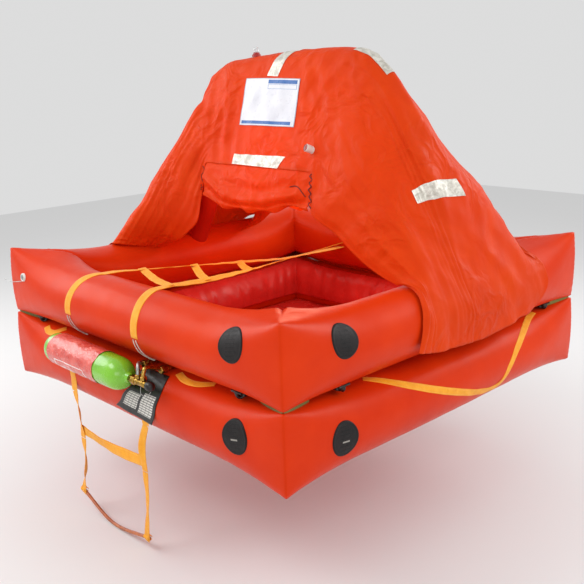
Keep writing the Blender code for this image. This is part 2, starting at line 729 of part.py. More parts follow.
def build_pipe(name, leave_x, inlet):
    """A pipe from the valve up and back to an inlet between the tubes, with a nut on it."""
    start = Vector((leave_x, CYLINDER_Y, CYLINDER_Z + 0.0140))
    inlet = Vector(inlet)
    bend = Vector((leave_x + 0.2 * (inlet.x - leave_x), CYLINDER_Y + 0.014, inlet.z + 0.030))
    points = curve_through([start, start + Vector((0, 0, 0.022)), bend,
                            inlet + Vector((0, -0.045, 0.008)), inlet], 12)
    tube = round_tube(name + "_tube", points, PIPE_RADIUS, 8)
    nut = turned(name + "_nut", [(-0.040, 0.0155), (-0.014, 0.0155)], inlet, (0, 1, 0), 6)
    seat = turned(name + "_seat", [(-0.015, 0.0105), (0.045, 0.0105)], inlet, (0, 1, 0), 8)
    pipe = add_object(name, merge(name, [tube, nut, seat]), BRASS, 0.3, 1.0)
    cut_by(pipe, UPPER_ROOM)
    cut_by(pipe, LOWER_ROOM)


# Patches, plates and webbing that lie on the tubes.

SUNK = 0.003            # how deep a piece starts in a tube before it is cut to the tube's facets


def disc_on_skin(name, side, distance, turn, room, radius, thickness, colour, roughness):
    """A round patch that follows the tube's skin."""
    level = LOWER_LEVEL if room == LOWER_ROOM else UPPER_LEVEL
    bm = bmesh.new()
    count, circles = 16, 2
    centre = bm.verts.new(skin_at(side, distance, turn, level, -SUNK))
    loops = []
    for c in range(1, circles + 1):
        reach = radius * c / circles
        loops.append([bm.verts.new(skin_at(side, distance + reach * a,
                                           turn + reach * b / TUBE_RADIUS, level, -SUNK))
                      for a, b in ring_outline(1.0, count)])
    for k in range(count):
        bm.faces.new((centre, loops[0][k], loops[0][(k + 1) % count]))
    for first, second in zip(loops, loops[1:]):
        for k in range(count):
            n = (k + 1) % count
            bm.faces.new((first[k], second[k], second[n], first[n]))
    mesh = bpy.data.meshes.new(name)
    bm.to_mesh(mesh)
    bm.free()
    disc = add_object(name, mesh, colour, roughness)
    thicken(disc, thickness + SUNK, 1)
    cut_by(disc, room)


PATCH_RADIUS = 0.060
PATCH_THICK = 0.004
PATCHES = (
    ("relief_patch_front_upper", FRONT, 0.646, 24.4),
    ("relief_patch_front_lower", FRONT, 0.651, 8.9),
    ("relief_patch_side_upper", RIGHT, -0.598, 26.2),
    ("relief_patch_side_lower", RIGHT, -0.615, 2.4),
)


def build_patches():
    for name, side, distance, turn in PATCHES:
        room = LOWER_ROOM if name.endswith("lower") else UPPER_ROOM
        disc_on_skin(name, side, distance, math.radians(turn), room, PATCH_RADIUS, PATCH_THICK,
                     BLACK, 0.45)
    disc_on_skin("corner_valve", FRONT, -0.725, math.radians(12.9), UPPER_ROOM, 0.018, 0.010,
                 CORD_WHITE, 0.4)


# Each row of the label: the tube's turn there or, below the last facet, its height,
# with the left and right edges.
LABEL_ROWS = ((63, 0.060, 0.222), (45, 0.068, 0.232), (27, 0.060, 0.235), (9, 0.018, 0.224),
              (-9, -0.012, 0.212))
LABEL_HEM = (0.080, -0.039, 0.196, 0.066)   # height and x on the left, x and height on the right
TAB_THICK = 0.0012      # the ladder's sewn tabs, one of them under the label
LABEL_LIFT = 0.0018
LABEL_THICK = 0.0015


def build_label():
    """The black information flap: over the lower tube's front, then hanging free."""
    columns = 3
    rows = []
    for degrees, left, right in LABEL_ROWS:
        rows.append([skin_at(FRONT, left + (right - left) * c / (columns - 1),
                             math.radians(degrees), LOWER_LEVEL, LABEL_LIFT)
                     for c in range(columns)])
    hem_left, left, right, hem_right = LABEL_HEM
    hem = []
    for c in range(columns):
        share = c / (columns - 1)
        height = hem_left + (hem_right - hem_left) * share
        hem.append(Vector((left + (right - left) * share, rows[-1][0].y, height)))
    rows.append(hem)
    bm = bmesh.new()
    grid = [[bm.verts.new(point) for point in row] for row in rows]
    for upper, lower in zip(grid, grid[1:]):
        for c in range(columns - 1):
            bm.faces.new((lower[c], lower[c + 1], upper[c + 1], upper[c]))
    mesh = bpy.data.meshes.new("cylinder_label")
    bm.to_mesh(mesh)
    bm.free()
    thicken(add_object("cylinder_label", mesh, BLACK, 0.4), LABEL_THICK, 1)


def web_on_front(start, finish, level, turns):
    """Places of a strap over the front tube, its width along the tube, drifting sideways."""
    across = Vector((-1, 0, 0))
    places = []
    for index, degrees in enumerate(turns):
        turn = math.radians(degrees)
        distance = start + (finish - start) * (index / max(1, len(turns) - 1)) ** 2
        up = Vector((0.0, -math.cos(turn), math.sin(turn)))
        places.append((skin_at(FRONT, distance, turn, level, SKIN_GAP), across, up))
    return places


# The inner ladder's straps: where each starts on the front tube, and how it runs aft.
INNER_LADDER = (
    (-0.350, -0.303, ((-0.299, -0.468, 0.493), (-0.293, -0.023, 0.440), (-0.292, 0.268, 0.408),
                      (-0.300, 0.6330, 0.412))),
    (0.118, 0.066, ((0.001, -0.483, 0.490), (-0.087, -0.152, 0.460), (-0.176, 0.178, 0.438),
                    (-0.292, 0.6330, 0.398))),
)
RUNG_ENDS = ((-0.56, -0.68), (-0.29, -0.47), (-0.04, -0.17))


def crossing(points, y):
    """The point of a curve that runs aft where it passes the given y."""
    for first, second in zip(points, points[1:]):
        if first.y <= y <= second.y:
            return first.lerp(second, (y - first.y) / (second.y - first.y))
    return points[-1]


def build_inner_ladder():
    """Two straps over the entrance tube that run to the rear tube, with three rungs."""
    meshes = []
    runs = []
    for start, finish, route in INNER_LADDER:
        over = web_on_front(start, finish, UPPER_LEVEL, facet_turns(-1, 5))
        leave = over[-1][0] + Vector((0, 0.020, 0.0035))
        run = curve_through([leave, *route], 14)
        places = over + along_curve(run, (-1, -0.1, -0.25))
        meshes.append(sweep("strap", places, strip_outline(WEBBING, WEB_THICK)))
        runs.append(run)
    for left_y, right_y in RUNG_ENDS:
        ends = [crossing(runs[0], left_y) + Vector((-0.012, 0, 0)),
                crossing(runs[1], right_y) + Vector((0.012, 0, 0))]
        sag = ends[0].lerp(ends[1], 0.5) + Vector((0, 0, -0.010))
        points = curve_through([ends[0], sag, ends[1]], 5)
        meshes.append(sweep("rung", along_curve(points, (0, 1, 0.1)), strip_outline(0.034, 0.0045)))
    add_object("inner_ladder", merge("inner_ladder", meshes), WEB_YELLOW, 0.7)


def build_tie_cords():
    """The two thin white cords from each strap's end down into the gap between the tubes."""
    turns = (-11.5, -27.0, -45.0, -63.0)
    for name, x in (("left_tie_cords", -0.350), ("right_tie_cords", 0.118)):
        meshes = []
        for offset in (-0.008, 0.008):
            points = [skin_at(FRONT, x + offset * (1.0 + 0.5 * (k in (1, 2))),
                              math.radians(turn), UPPER_LEVEL, 0.0026)
                      for k, turn in enumerate(turns)]
            meshes.append(round_tube("cord", points, 0.0020, 6))
        end = skin_at(FRONT, x, math.radians(turns[-1]), UPPER_LEVEL, 0.0036)
        meshes.append(turned("joiner", [(-0.018, 0.003), (0.018, 0.003)], end, (1, 0, 0), 6))
        add_object(name, merge(name, meshes), CORD_WHITE, 0.6)


# Lifelines and the knotted fittings that hold them in the gap between the tubes.

KNOT_OUT = 0.820
KNOT_Z = 0.280
FITTINGS = {
    FRONT: (-0.699, 0.613), RIGHT: (-0.562, 0.698), REAR: (-0.62, 0.62), LEFT: (-0.62, 0.62),
}
SIDE_NAMES = {FRONT: "front", RIGHT: "right", REAR: "rear", LEFT: "left"}


def on_side(side, distance, out, z):
    return Matrix.Rotation(side * math.pi / 2, 4, "Z") @ Vector((distance, -out, z))


def build_fittings():
    """Black webbing knots, each on a tab that reaches in between the two tubes."""
    for side, places in FITTINGS.items():
        outward = on_side(side, 0, 1, 0)
        sideways = on_side(side, 1, 0, 0)
        for index, distance in enumerate(places):
            back = on_side(side, distance, TUBE_LINE - 0.020, KNOT_Z - 0.004)
            reach = KNOT_OUT - TUBE_LINE + 0.018
            tab = turned("tab", [(0.0, 0.032), (reach, 0.032)], back, outward, 8)
            centre = on_side(side, distance, KNOT_OUT, KNOT_Z)
            knot = turned("knot", [(-0.026, 0.011), (-0.012, 0.021), (0.012, 0.021),
                                   (0.026, 0.011)], centre, sideways, 8)
            name = "lifeline_fitting_%s_%d" % (SIDE_NAMES[side], index + 1)
            fitting = add_object(name, merge(name, [tab, knot]), BLACK, 0.5)
            cut_by(fitting, UPPER_ROOM)
            cut_by(fitting, LOWER_ROOM)


# Each lifeline is a list of (distance along its side, turn in degrees on the lower tube).
LIFELINES = {
    "lifeline_right": (RIGHT, ((-0.402, 86), (-0.375, 74), (-0.291, 49), (-0.163, 23),
                               (0.006, -4), (0.155, -25), (0.262, -34), (0.310, -24), (0.345, 0),
                               (0.42, 27), (0.585, 66), (0.640, 76))),
    "lifeline_front_right": (FRONT, ((0.242, 76), (0.300, 68), (0.374, 70), (0.430, 84))),
    "lifeline_front_left": (FRONT, ((-0.655, 62), (-0.626, 54), (-0.589, 57), (-0.555, 78))),
    "lifeline_rear": (REAR, ((-0.50, 80), (-0.42, 62), (-0.22, 18), (0.0, -6), (0.22, 18),
                             (0.42, 62), (0.50, 80))),
    "lifeline_left": (LEFT, ((-0.50, 80), (-0.42, 62), (-0.22, 18), (0.0, -6), (0.22, 18),
                             (0.42, 62), (0.50, 80))),
}
DEGREES_PER_METRE = 470.0   # of turn on the skin, so that both numbers space evenly


def build_lifelines():
    """Slack yellow webs that hang between the fittings, over the lower tube."""
    for name, (side, route) in LIFELINES.items():
        around = Matrix.Rotation(side * math.pi / 2, 3, "Z")
        route = [(distance, turn / DEGREES_PER_METRE, 0.0) for distance, turn in route]
        points = []
        ups = []
        for distance, height, _zero in curve_through(route, 2 * (len(route) - 1) + 1):
            turn = math.radians(height * DEGREES_PER_METRE)
            points.append(skin_at(side, distance, turn, LOWER_LEVEL, -SUNK))
            ups.append(around @ skin_normal(distance / TUBE_LINE, turn, LOWER_LEVEL, 0.01))
        places = []
        for point, ahead, up in zip(points, directions(points), ups):
            up = (up - ahead * up.dot(ahead)).normalized()
            places.append((point, up.cross(ahead).normalized(), up))
        mesh = sweep(name, places, strip_outline(LIFELINE, WEB_THICK + SUNK))
        cut_by(add_object(name, mesh, WEB_YELLOW, 0.7), LOWER_ROOM)


# The ladder that hangs outside, below the cylinder.

LADDER_SIDES = ((LADDER_LEFT, "left"), (LADDER_RIGHT, "right"))
PIVOT_Y = LADDER_Y - WEB_THICK / 2
PIVOT_GAP = 0.00045
FOLD_THICK = 0.0008     # the webbing pressed thin where it folds at a pivot
STEP_DRIFT = (0.030, -0.030)    # how far the straps draw in at the lower pivot
STEP_RADIUS = 0.0065
STEP_FEET = ((-0.378, -0.416), (0.084, -0.452))


def hanging_strap(points):
    """A strap that hangs in the ladder's plane, cut level at both ends."""
    places = along_curve(points, (1, 0, 0))
    for end in (0, -1):
        middle = places[end][0].copy()
        middle.y = PIVOT_Y + FOLD_THICK / 2
        places[end] = (middle, Vector((1, 0, 0)), Vector((0, -FOLD_THICK / WEB_THICK, 0)))
    return sweep("strap", places, strip_outline(LIFELINE, WEB_THICK))


def build_outer_ladder():
    for x, word in LADDER_SIDES:
        places = web_on_front(x, x, LOWER_LEVEL, facet_turns(-1, 0))[::-1]
        last = places[-1][0].copy()
        last.z = LADDER_PIVOT_Z + PIVOT_GAP
        places.append((last, places[-1][1], Vector((0, -1, 0))))
        name = "ladder_tab_" + word
        mesh = sweep(name, places[::-1], strip_outline(LIFELINE, TAB_THICK))
        add_object(name, mesh, WEB_YELLOW, 0.7)
    top, foot = LADDER_PIVOT_Z - PIVOT_GAP, STEP_PIVOT_Z + PIVOT_GAP
    meshes = []
    for x, _word in LADDER_SIDES:
        foot_x = x + (STEP_DRIFT[0] if x < 0 else STEP_DRIFT[1])
        route = [(x, LADDER_Y, top), (foot_x - 0.004, LADDER_Y - 0.003, -0.05),
                 (foot_x, LADDER_Y, foot)]
        meshes.append(hanging_strap(curve_through(route, 6)))
    ends = [Vector((LADDER_LEFT + STEP_DRIFT[0] - 0.010, LADDER_Y, foot + 0.036)),
            Vector((LADDER_RIGHT + STEP_DRIFT[1] + 0.010, LADDER_Y, foot + 0.040))]
    middle = ends[0].lerp(ends[1], 0.45) + Vector((0, -0.003, -0.010))
    rung = curve_through([ends[0], middle, ends[1]], 8)
    meshes.append(sweep("rung", along_curve(rung, (0, 0, 1)), strip_outline(0.040, 0.0045)))
    upper = add_object("ladder_upper_webbing", merge("ladder_upper_webbing", meshes),
                       WEB_YELLOW, 0.7)
    set_origin(upper, (0, PIVOT_Y, LADDER_PIVOT_Z))

    top = STEP_PIVOT_Z - PIVOT_GAP
    pivot = (0, PIVOT_Y, STEP_PIVOT_Z)
    for index, ((x, word), (foot_x, foot_z)) in enumerate(zip(LADDER_SIDES, STEP_FEET)):
        x += STEP_DRIFT[index]
        mesh = hanging_strap(curve_through([(x, LADDER_Y, top), (x + 0.003, LADDER_Y - 0.003, -0.27),
                                            (foot_x, LADDER_Y, foot_z)], 6))
        mesh.name = "ladder_lower_strap_" + word
        set_origin(add_object(mesh.name, mesh, WEB_YELLOW, 0.7), pivot)
    behind = PIVOT_Y + FOLD_THICK / 2 + STEP_RADIUS + 0.0001
    left = Vector((STEP_FEET[0][0] - 0.012, behind, STEP_FEET[0][1] + 0.012))
    right = Vector((STEP_FEET[1][0] + 0.012, behind, STEP_FEET[1][1] + 0.012))
    sag = left.lerp(right, 0.45) + Vector((0, 0, -0.058))
    mesh = round_tube("ladder_step", curve_through([left, sag, right], 12), STEP_RADIUS, 8)
    set_origin(add_object("ladder_step", mesh, STEP_ORANGE, 0.45), pivot)


# Under the floor.

POCKET_SIZE = 0.24
POCKET_DEPTH = 0.055
POCKET_PLACES = ((-0.30, -0.30), (0.30, -0.30), (-0.30, 0.30), (0.30, 0.30))


def build_underside():
    """Four limp ballast pockets and the righting strap."""
    for index, (x, y) in enumerate(POCKET_PLACES):
        bm = bmesh.new()
        bmesh.ops.create_cube(bm, size=1.0)
        bmesh.ops.scale(bm, vec=(POCKET_SIZE, POCKET_SIZE, POCKET_DEPTH), verts=bm.verts)
        for vert in bm.verts:
            if vert.co.z < 0:
                vert.co.x *= 0.82
                vert.co.y *= 0.82
        height = FLOOR_BOTTOM - SKIN_GAP - POCKET_DEPTH / 2
        bmesh.ops.translate(bm, vec=(x, y, height), verts=bm.verts)
        bmesh.ops.bevel(bm, geom=list(bm.edges), offset=0.014, segments=1, affect="EDGES")
        name = "ballast_pocket_%d" % (index + 1)
        add_object(name, closed_mesh(name, bm), BLACK, 0.6)
    low = LOWER_LEVEL[0] - TUBE_RADIUS
    seat = low + 0.0011
    half = TUBE_LINE - 0.005
    route = [(0.14, -half - 0.022, seat - 0.0012), (0.138, -half, seat - 0.005),
             (0.12, -half + 0.06, low - 0.030), (0.06, -0.45, -0.004),
             (0.03, -0.2, low + 0.006), (0.0, 0.2, low + 0.006), (0.0, 0.45, low + 0.002),
             (0.0, half, seat - 0.001), (0.0, half + 0.022, seat)]
    mesh = sweep("righting_strap", along_curve(curve_through(route, 18), (1, 0, 0)),
                 strip_outline(LIFELINE, WEB_THICK))
    add_object("righting_strap", mesh, STEP_ORANGE, 0.7)


clear_scene()
DATUM = datum()
LOWER_ROOM = cutter("lower_tube_room", LOWER_LEVEL)
UPPER_ROOM = cutter("upper_tube_room", UPPER_LEVEL)
build_hull()
build_floor()
build_liner()
build_arch()
build_canopy()
build_sign()
build_roof_fittings()
build_gas_set()
build_patches()
build_label()
build_inner_ladder()
build_tie_cords()
build_fittings()
build_lifelines()
build_outer_ladder()
build_underside()
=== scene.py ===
# %% [markdown]
# # A four-person life raft
# This lesson dresses an inflatable life raft. Its plain solids come from the CAD model, and
# every soft piece is then laid over them as what it is in life: blown-up tubes, a thin tent of
# cloth, flat webbing and cords. All numbers are metres, with the waterline at height zero, the
# entrance towards -Y and the canopy's long skirt towards +X.

import math

import bpy
import numpy as np
from mathutils import Matrix, Vector, noise


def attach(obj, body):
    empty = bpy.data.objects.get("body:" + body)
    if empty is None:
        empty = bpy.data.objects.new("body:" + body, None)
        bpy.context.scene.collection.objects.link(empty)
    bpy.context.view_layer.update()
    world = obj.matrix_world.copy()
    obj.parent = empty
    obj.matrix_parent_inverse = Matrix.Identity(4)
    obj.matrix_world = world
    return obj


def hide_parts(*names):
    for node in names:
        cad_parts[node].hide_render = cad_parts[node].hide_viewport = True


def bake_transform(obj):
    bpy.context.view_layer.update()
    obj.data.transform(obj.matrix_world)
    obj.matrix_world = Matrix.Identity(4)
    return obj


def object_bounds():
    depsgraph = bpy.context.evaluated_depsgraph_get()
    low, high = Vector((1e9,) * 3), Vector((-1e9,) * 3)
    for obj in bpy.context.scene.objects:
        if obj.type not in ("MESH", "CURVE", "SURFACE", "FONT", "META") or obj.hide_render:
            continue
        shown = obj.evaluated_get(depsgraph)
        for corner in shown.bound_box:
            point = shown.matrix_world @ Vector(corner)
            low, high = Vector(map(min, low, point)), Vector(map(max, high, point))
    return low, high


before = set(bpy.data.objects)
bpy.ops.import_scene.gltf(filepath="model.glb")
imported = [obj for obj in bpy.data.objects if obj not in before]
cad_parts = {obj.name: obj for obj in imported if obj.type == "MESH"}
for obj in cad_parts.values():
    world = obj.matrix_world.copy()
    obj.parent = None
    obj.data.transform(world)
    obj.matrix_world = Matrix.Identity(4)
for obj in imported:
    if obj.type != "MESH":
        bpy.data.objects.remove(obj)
CAD_BOX = [list(corner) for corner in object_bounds()]
bpy.ops.object.select_all(action="DESELECT")

# %% [markdown]
# ## Camera
# The raft is seen from its front right corner, from a little above eye height of a seated
# person. The camera's place and lens were worked out from the corners of the hull.

# %% Camera
YAW, PITCH, ROLL = (math.radians(degrees) for degrees in (46.72, 15.12, -1.92))
CAMERA_PLACE = Vector((2.608, -2.452, 1.250))
ahead = Vector((-math.sin(YAW) * math.cos(PITCH), math.cos(YAW) * math.cos(PITCH),
                -math.sin(PITCH)))
level_right = Vector((math.cos(YAW), math.sin(YAW), 0.0))
level_up = level_right.cross(ahead)
camera_right = level_right * math.cos(ROLL) + level_up * math.sin(ROLL)
camera_up = level_up * math.cos(ROLL) - level_right * math.sin(ROLL)
bpy.ops.object.camera_add()
camera = bpy.context.object
camera.name = "photo_camera"
camera.data.lens = 52.18
camera.data.sensor_width = 36.0
camera.data.clip_end = 60.0
turned_view = Matrix((camera_right, camera_up, -ahead)).transposed().to_4x4()
camera.matrix_world = Matrix.Translation(CAMERA_PLACE) @ turned_view
bpy.context.scene.camera = camera
print("camera", [round(v, 3) for v in camera.location])

# %% [markdown]
# ## Light and floor
# Product photographs of rafts are lit by big soft boxes, so the tubes carry long pale
# highlights with blurred edges. Five area lights do that here, over a pale floor. A weak lamp
# inside the tent stands for the daylight that its thin cloth lets through. The raft
# hangs a little above the floor, because its boarding ladder reaches down below the hull.

# %% Light and floor
FLOOR_HEIGHT = min(corner[2] for corner in CAD_BOX) - 0.004
SOFT_BOXES = (      # name, place, what it is aimed at, size, watts
    ("key_box", (-1.6, -3.2, 3.6), (0.0, 0.0, 0.3), (2.6, 1.6), 64.0),
    ("side_box", (4.2, 0.8, 2.6), (0.2, 0.0, 0.3), (2.0, 2.4), 50.0),
    ("front_box", (2.6, -3.9, 1.5), (0.2, -0.4, 0.2), (2.4, 1.6), 24.0),
    ("left_box", (-3.5, -1.7, 1.9), (-0.4, -0.4, 0.3), (2.4, 1.8), 44.0),
    ("rear_box", (1.5, 3.4, 2.1), (0.3, 0.4, 0.3), (2.4, 1.4), 40.0))
for name, place, target, size, watts in SOFT_BOXES:
    bpy.ops.object.light_add(type="AREA", location=place)
    light = bpy.context.object
    light.name = name
    light.rotation_euler = (Vector(target) - Vector(place)).to_track_quat("-Z", "Y").to_euler()
    light.data.shape = "RECTANGLE"
    light.data.size, light.data.size_y = size
    light.data.energy = watts
bpy.ops.object.light_add(type="POINT", location=(0.0, 0.06, 0.80))
glow = bpy.context.object
glow.name = "light_through_cloth"
glow.data.energy = 7.0
glow.data.shadow_soft_size = 0.22
glow.data.color = (1.0, 0.60, 0.42)
bpy.ops.mesh.primitive_plane_add(size=16.0, location=(0.0, 0.0, FLOOR_HEIGHT))
studio_floor = bpy.context.object
studio_floor.name = "studio_floor"
world = bpy.data.worlds.new("studio_air")
world.use_nodes = True
world.node_tree.nodes["Background"].inputs["Color"].default_value = (1.0, 1.0, 1.0, 1.0)
world.node_tree.nodes["Background"].inputs["Strength"].default_value = 0.72
bpy.context.scene.world = world
bpy.context.scene.view_settings.view_transform = "Standard"
print("floor at", round(FLOOR_HEIGHT, 3))

# %% [markdown]
# ## Finishes
# A finish is a small net of nodes. Most of them here share the same three layers: a colour that
# drifts a little from place to place, a gloss that is broken up by handling, and a fine relief.
# The helper below has one short call for each kind of node, so that a recipe reads like a list.

# %% Node helper


def paint(code):
    """A colour written as on a paint chart, turned into the renderer's linear numbers."""
    parts = [int(code[k:k + 2], 16) / 255.0 for k in (0, 2, 4)]
    return tuple(p / 12.92 if p < 0.04045 else ((p + 0.055) / 1.055) ** 2.4 for p in parts) + (1.0,)


class Net:
    """The nodes of one finish. A value is a number, a paint code or another node's output."""

    def __init__(self, name):
        self.material = bpy.data.materials.new(name)
        self.material.use_nodes = True
        self.tree = self.material.node_tree
        self.where = self.add("TexCoord", {}).outputs["Object"]

    def add(self, kind, inputs, **settings):
        node = self.tree.nodes.new("ShaderNode" + kind)
        for key, value in settings.items():
            setattr(node, key, value)
        for key, value in inputs.items():
            if isinstance(value, bpy.types.NodeSocket):
                self.tree.links.new(value, node.inputs[key])
            else:
                node.inputs[key].default_value = paint(value) if isinstance(value, str) else value
        return node

    def flat(self):
        """The two coordinates of the sheet's own UV map."""
        split = self.add("SeparateXYZ", {0: self.add("TexCoord", {}).outputs["UV"]})
        self.u, self.v = split.outputs[0], split.outputs[1]
        return self.u, self.v

    def maths(self, operation, *values):
        return self.add("Math", dict(enumerate(values)), operation=operation).outputs[0]

    def times(self, first, second):
        return self.maths("MULTIPLY", first, second)

    def sine(self, value, rate):
        return self.maths("SINE", self.times(value, rate))

    def block(self, left, right, low, high):
        """One inside a box on the sheet and nought outside it."""
        return self.times(self.maths("COMPARE", self.u, (left + right) / 2, (right - left) / 2),
                          self.maths("COMPARE", self.v, (low + high) / 2, (high - low) / 2))

    def spread(self, value, low, high, to_low=0.0, to_high=1.0):
        return self.add("MapRange", dict(enumerate((value, low, high, to_low, to_high)))).outputs[0]

    def mixed(self, share, low, high):
        """A colour between two, by a share from 0 to 1."""
        return self.add("Mix", {0: share, 6: low, 7: high}, data_type="RGBA").outputs[2]

    def clouds(self, scale, detail=3.0, roughness=0.55, distortion=0.0):
        return self.add("TexNoise", {"Vector": self.where, "Scale": scale, "Detail": detail,
                                     "Roughness": roughness, "Distortion": distortion}).outputs[0]

    def cells(self, scale, where, feature="F1"):
        return self.add("TexVoronoi", {"Vector": where, "Scale": scale}, feature=feature).outputs[0]

    def relief(self, height, strength, distance, under=None):
        inputs = {"Height": height, "Strength": strength, "Distance": distance}
        return self.add("Bump", inputs if under is None else {**inputs, "Normal": under}).outputs[0]

    def done(self, colour, roughness, normal, **plain):
        """Join the three layers to the shader and set its uniform values."""
        shader = self.tree.nodes["Principled BSDF"]
        for key, value in (("Base Color", colour), ("Roughness", roughness), ("Normal", normal)):
            self.tree.links.new(value, shader.inputs[key])
        for key, value in plain.items():
            shader.inputs[key.replace("_", " ")].default_value = value
        return self.material


# %% [markdown]
# The tubes are of rubberised cloth: an even satin skin whose fine weave shows only close by.
# Dents from packing and wiping marks break up its gloss. The same recipe serves the cockpit's
# lining, glossier and painted brighter than its own dark red as painted light for the daylight
# through the tent, and the arch, painted darker as painted shade.

# %% Coated cloth finishes


def coated_cloth(name, light, dark, gloss, dents, weave=0.12, coat=0.0):
    net = Net(name)
    colour = net.mixed(net.spread(net.clouds(3.1, 4.0), 0.30, 0.72), light, dark)
    colour = net.mixed(net.spread(net.clouds(95.0, 2.0), 0.55, 0.85, 0.0, 0.22), colour, dark)
    rubbed = net.clouds(17.0, 5.0, 0.62, 0.4)
    normal = net.relief(net.cells(620.0, net.where), weave, 0.0006)
    normal = net.relief(net.clouds(11.0, 4.0, 0.5, 0.6), dents, 0.006, normal)
    return net.done(colour, net.spread(rubbed, 0.28, 0.74, gloss - 0.05, gloss + 0.09), normal,
                    Coat_Weight=coat, Coat_Roughness=0.32, Specular_IOR_Level=0.16,
                    Specular_Tint=(1.0, 0.60, 0.42, 1.0))


TUBE_SKIN = coated_cloth("tube_skin", "DC390B", "CC2D08", 0.33, 0.16)
# Painted light: the lining's red is set brighter than its own dark red, for daylight through the
# tent.
LINING_SKIN_PAINTED_LIGHT = coated_cloth("lining_skin_painted_light", "EE4038", "CC2C26", 0.24, 0.6, 0.1, 0.35)
# Painted shade: the arch's red is set darker than the tube skin, for the shade inside the tent.
ARCH_SKIN_PAINTED_SHADE = coated_cloth("arch_skin_painted_shade", "C42A16", "A81F10", 0.36, 0.2)
POCKET_CLOTH = coated_cloth("pocket_cloth", "1E1B1B", "0E0C0C", 0.6, 0.9, 0.4)
print("coated cloth finishes made")

# %% [markdown]
# The canopy is a thin woven cloth in signal orange. Its weave needs the sheet's own
# coordinates, laid out in metres on each sheet's UV map, so that it follows the cloth. Fine
# crumples, too small to model, are a relief of small facets. A faint emission paints the glow
# of daylight through the thin cloth as painted light, strongest in the rear flap.

# %% Canopy cloth


def thin_cloth(name, painted_glow):
    net = Net(name)
    u, v = net.flat()
    light, dark = "DC400C", "CE350A"
    colour = net.mixed(net.spread(net.clouds(4.2, 5.0, 0.6, 0.8), 0.30, 0.72), light, dark)
    weave = net.times(net.sine(u, 2600.0), net.sine(v, 2600.0))
    colour = net.mixed(net.spread(weave, 0.0, 1.0, 0.0, 0.10), colour, dark)
    bend = net.add("TexNoise", {"Vector": net.where, "Scale": 3.5, "Detail": 2.0}).outputs[1]
    bent = net.add("VectorMath", {0: net.where, 1: bend}, operation="ADD").outputs[0]
    patchy = net.spread(net.clouds(2.7, 2.0), 0.42, 0.62)
    normal = net.relief(weave, 0.10, 0.0004)
    for scale, strength, distance in ((9.0, 0.5, 0.022), (23.0, 0.4, 0.007)):
        normal = net.relief(net.times(net.cells(scale, bent), patchy), strength, distance, normal)
    roughness = net.spread(net.clouds(23.0, 3.0), 0.3, 0.7, 0.46, 0.60)
    # The emission is painted light: a glow standing in for daylight through the cloth, not a lamp.
    return net.done(colour, roughness, normal, Specular_IOR_Level=0.17,
                    Specular_Tint=(1.0, 0.62, 0.40, 1.0), Emission_Color=paint("F4480E"),
                    Emission_Strength=painted_glow, Subsurface_Weight=0.14, Subsurface_Scale=0.02)


# The rear flap's cloth is the same cloth with a stronger painted glow.
CANOPY_CLOTH, REAR_CLOTH_PAINTED_GLOW = thin_cloth("canopy_cloth", 0.03), thin_cloth("rear_cloth_painted_glow", 0.17)
print("canopy cloth made")

# %% [markdown]
# Webbing is woven flat: ribs run across it every two millimetres, its two edges are rolled,
# and a row of stitches runs inside each edge. Painted shade darkens the grooves between the
# ribs and the two rolled edges. Its UV map holds metres along the strap and a share from 0 to 1
# across it.

# %% Webbing


def webbing(name, light, dark, stitch, gloss=0.55):
    net = Net(name)
    across, along = net.flat()
    weave = net.maths("ADD", net.sine(along, 2900.0), net.times(net.sine(across, 95.0), 0.6))
    edge = net.maths("ABSOLUTE", net.maths("SUBTRACT", across, 0.5))
    rolled_edge_shade = net.spread(edge, 0.43, 0.5)
    worn = net.clouds(38.0, 4.0, 0.6)
    colour = net.mixed(net.spread(worn, 0.3, 0.75), light, dark)
    # Painted shade: darker in the grooves between the woven ribs.
    colour = net.mixed(net.spread(weave, -0.4, -1.6, 0.0, 0.30), colour, dark)
    # Painted shade: darker along the two rolled edges.
    colour = net.mixed(net.times(rolled_edge_shade, 0.55), colour, dark)
    row = net.maths("COMPARE", edge, 0.36, 0.016)
    sewn = net.times(row, net.maths("GREATER_THAN", net.sine(along, 1250.0), -0.35))
    colour = net.mixed(net.times(sewn, 0.5), colour, stitch)
    normal = net.relief(sewn, 0.5, 0.0007, net.relief(weave, 0.35, 0.0006))
    roughness = net.spread(worn, 0.3, 0.7, gloss - 0.07, gloss + 0.10)
    return net.done(colour, roughness, normal, Sheen_Weight=0.12, Sheen_Roughness=0.4,
                    Specular_IOR_Level=0.35)


YELLOW_WEB = webbing("yellow_web", "FFB21E", "F29A0C", "FFE0A0")
ORANGE_WEB = webbing("orange_web", "D9702B", "A94A16", "E9A36A")
print("webbing finishes made")

# %% [markdown]
# Moulded plastic, paint and metal share one recipe: a nearly even colour, a gloss broken by
# fine scratches, and a slight orange-peel relief. Brass is metallic, with darker tarnish in
# patches, and the cylinder's green paint has small chips.

# %% Hard finishes


def hard_finish(name, light, dark, gloss, metal=0.0, peel=0.12, coat=0.0, see_through=0.0,
                patchy=7.0):
    net = Net(name)
    colour = net.mixed(net.spread(net.clouds(patchy, 5.0, 0.62, 0.5), 0.34, 0.70), light, dark)
    colour = net.mixed(net.spread(net.clouds(160.0, 3.0, 0.6), 0.66, 0.74, 0.0, 0.5), colour, dark)
    scratched = net.clouds(60.0, 6.0, 0.7, 1.5)
    roughness = net.spread(scratched, 0.3, 0.75, max(0.03, gloss - 0.07), gloss + 0.13)
    return net.done(colour, roughness, net.relief(net.clouds(230.0, 2.0), peel, 0.0006),
                    Metallic=metal, Coat_Weight=coat, Coat_Roughness=0.08,
                    Transmission_Weight=see_through)


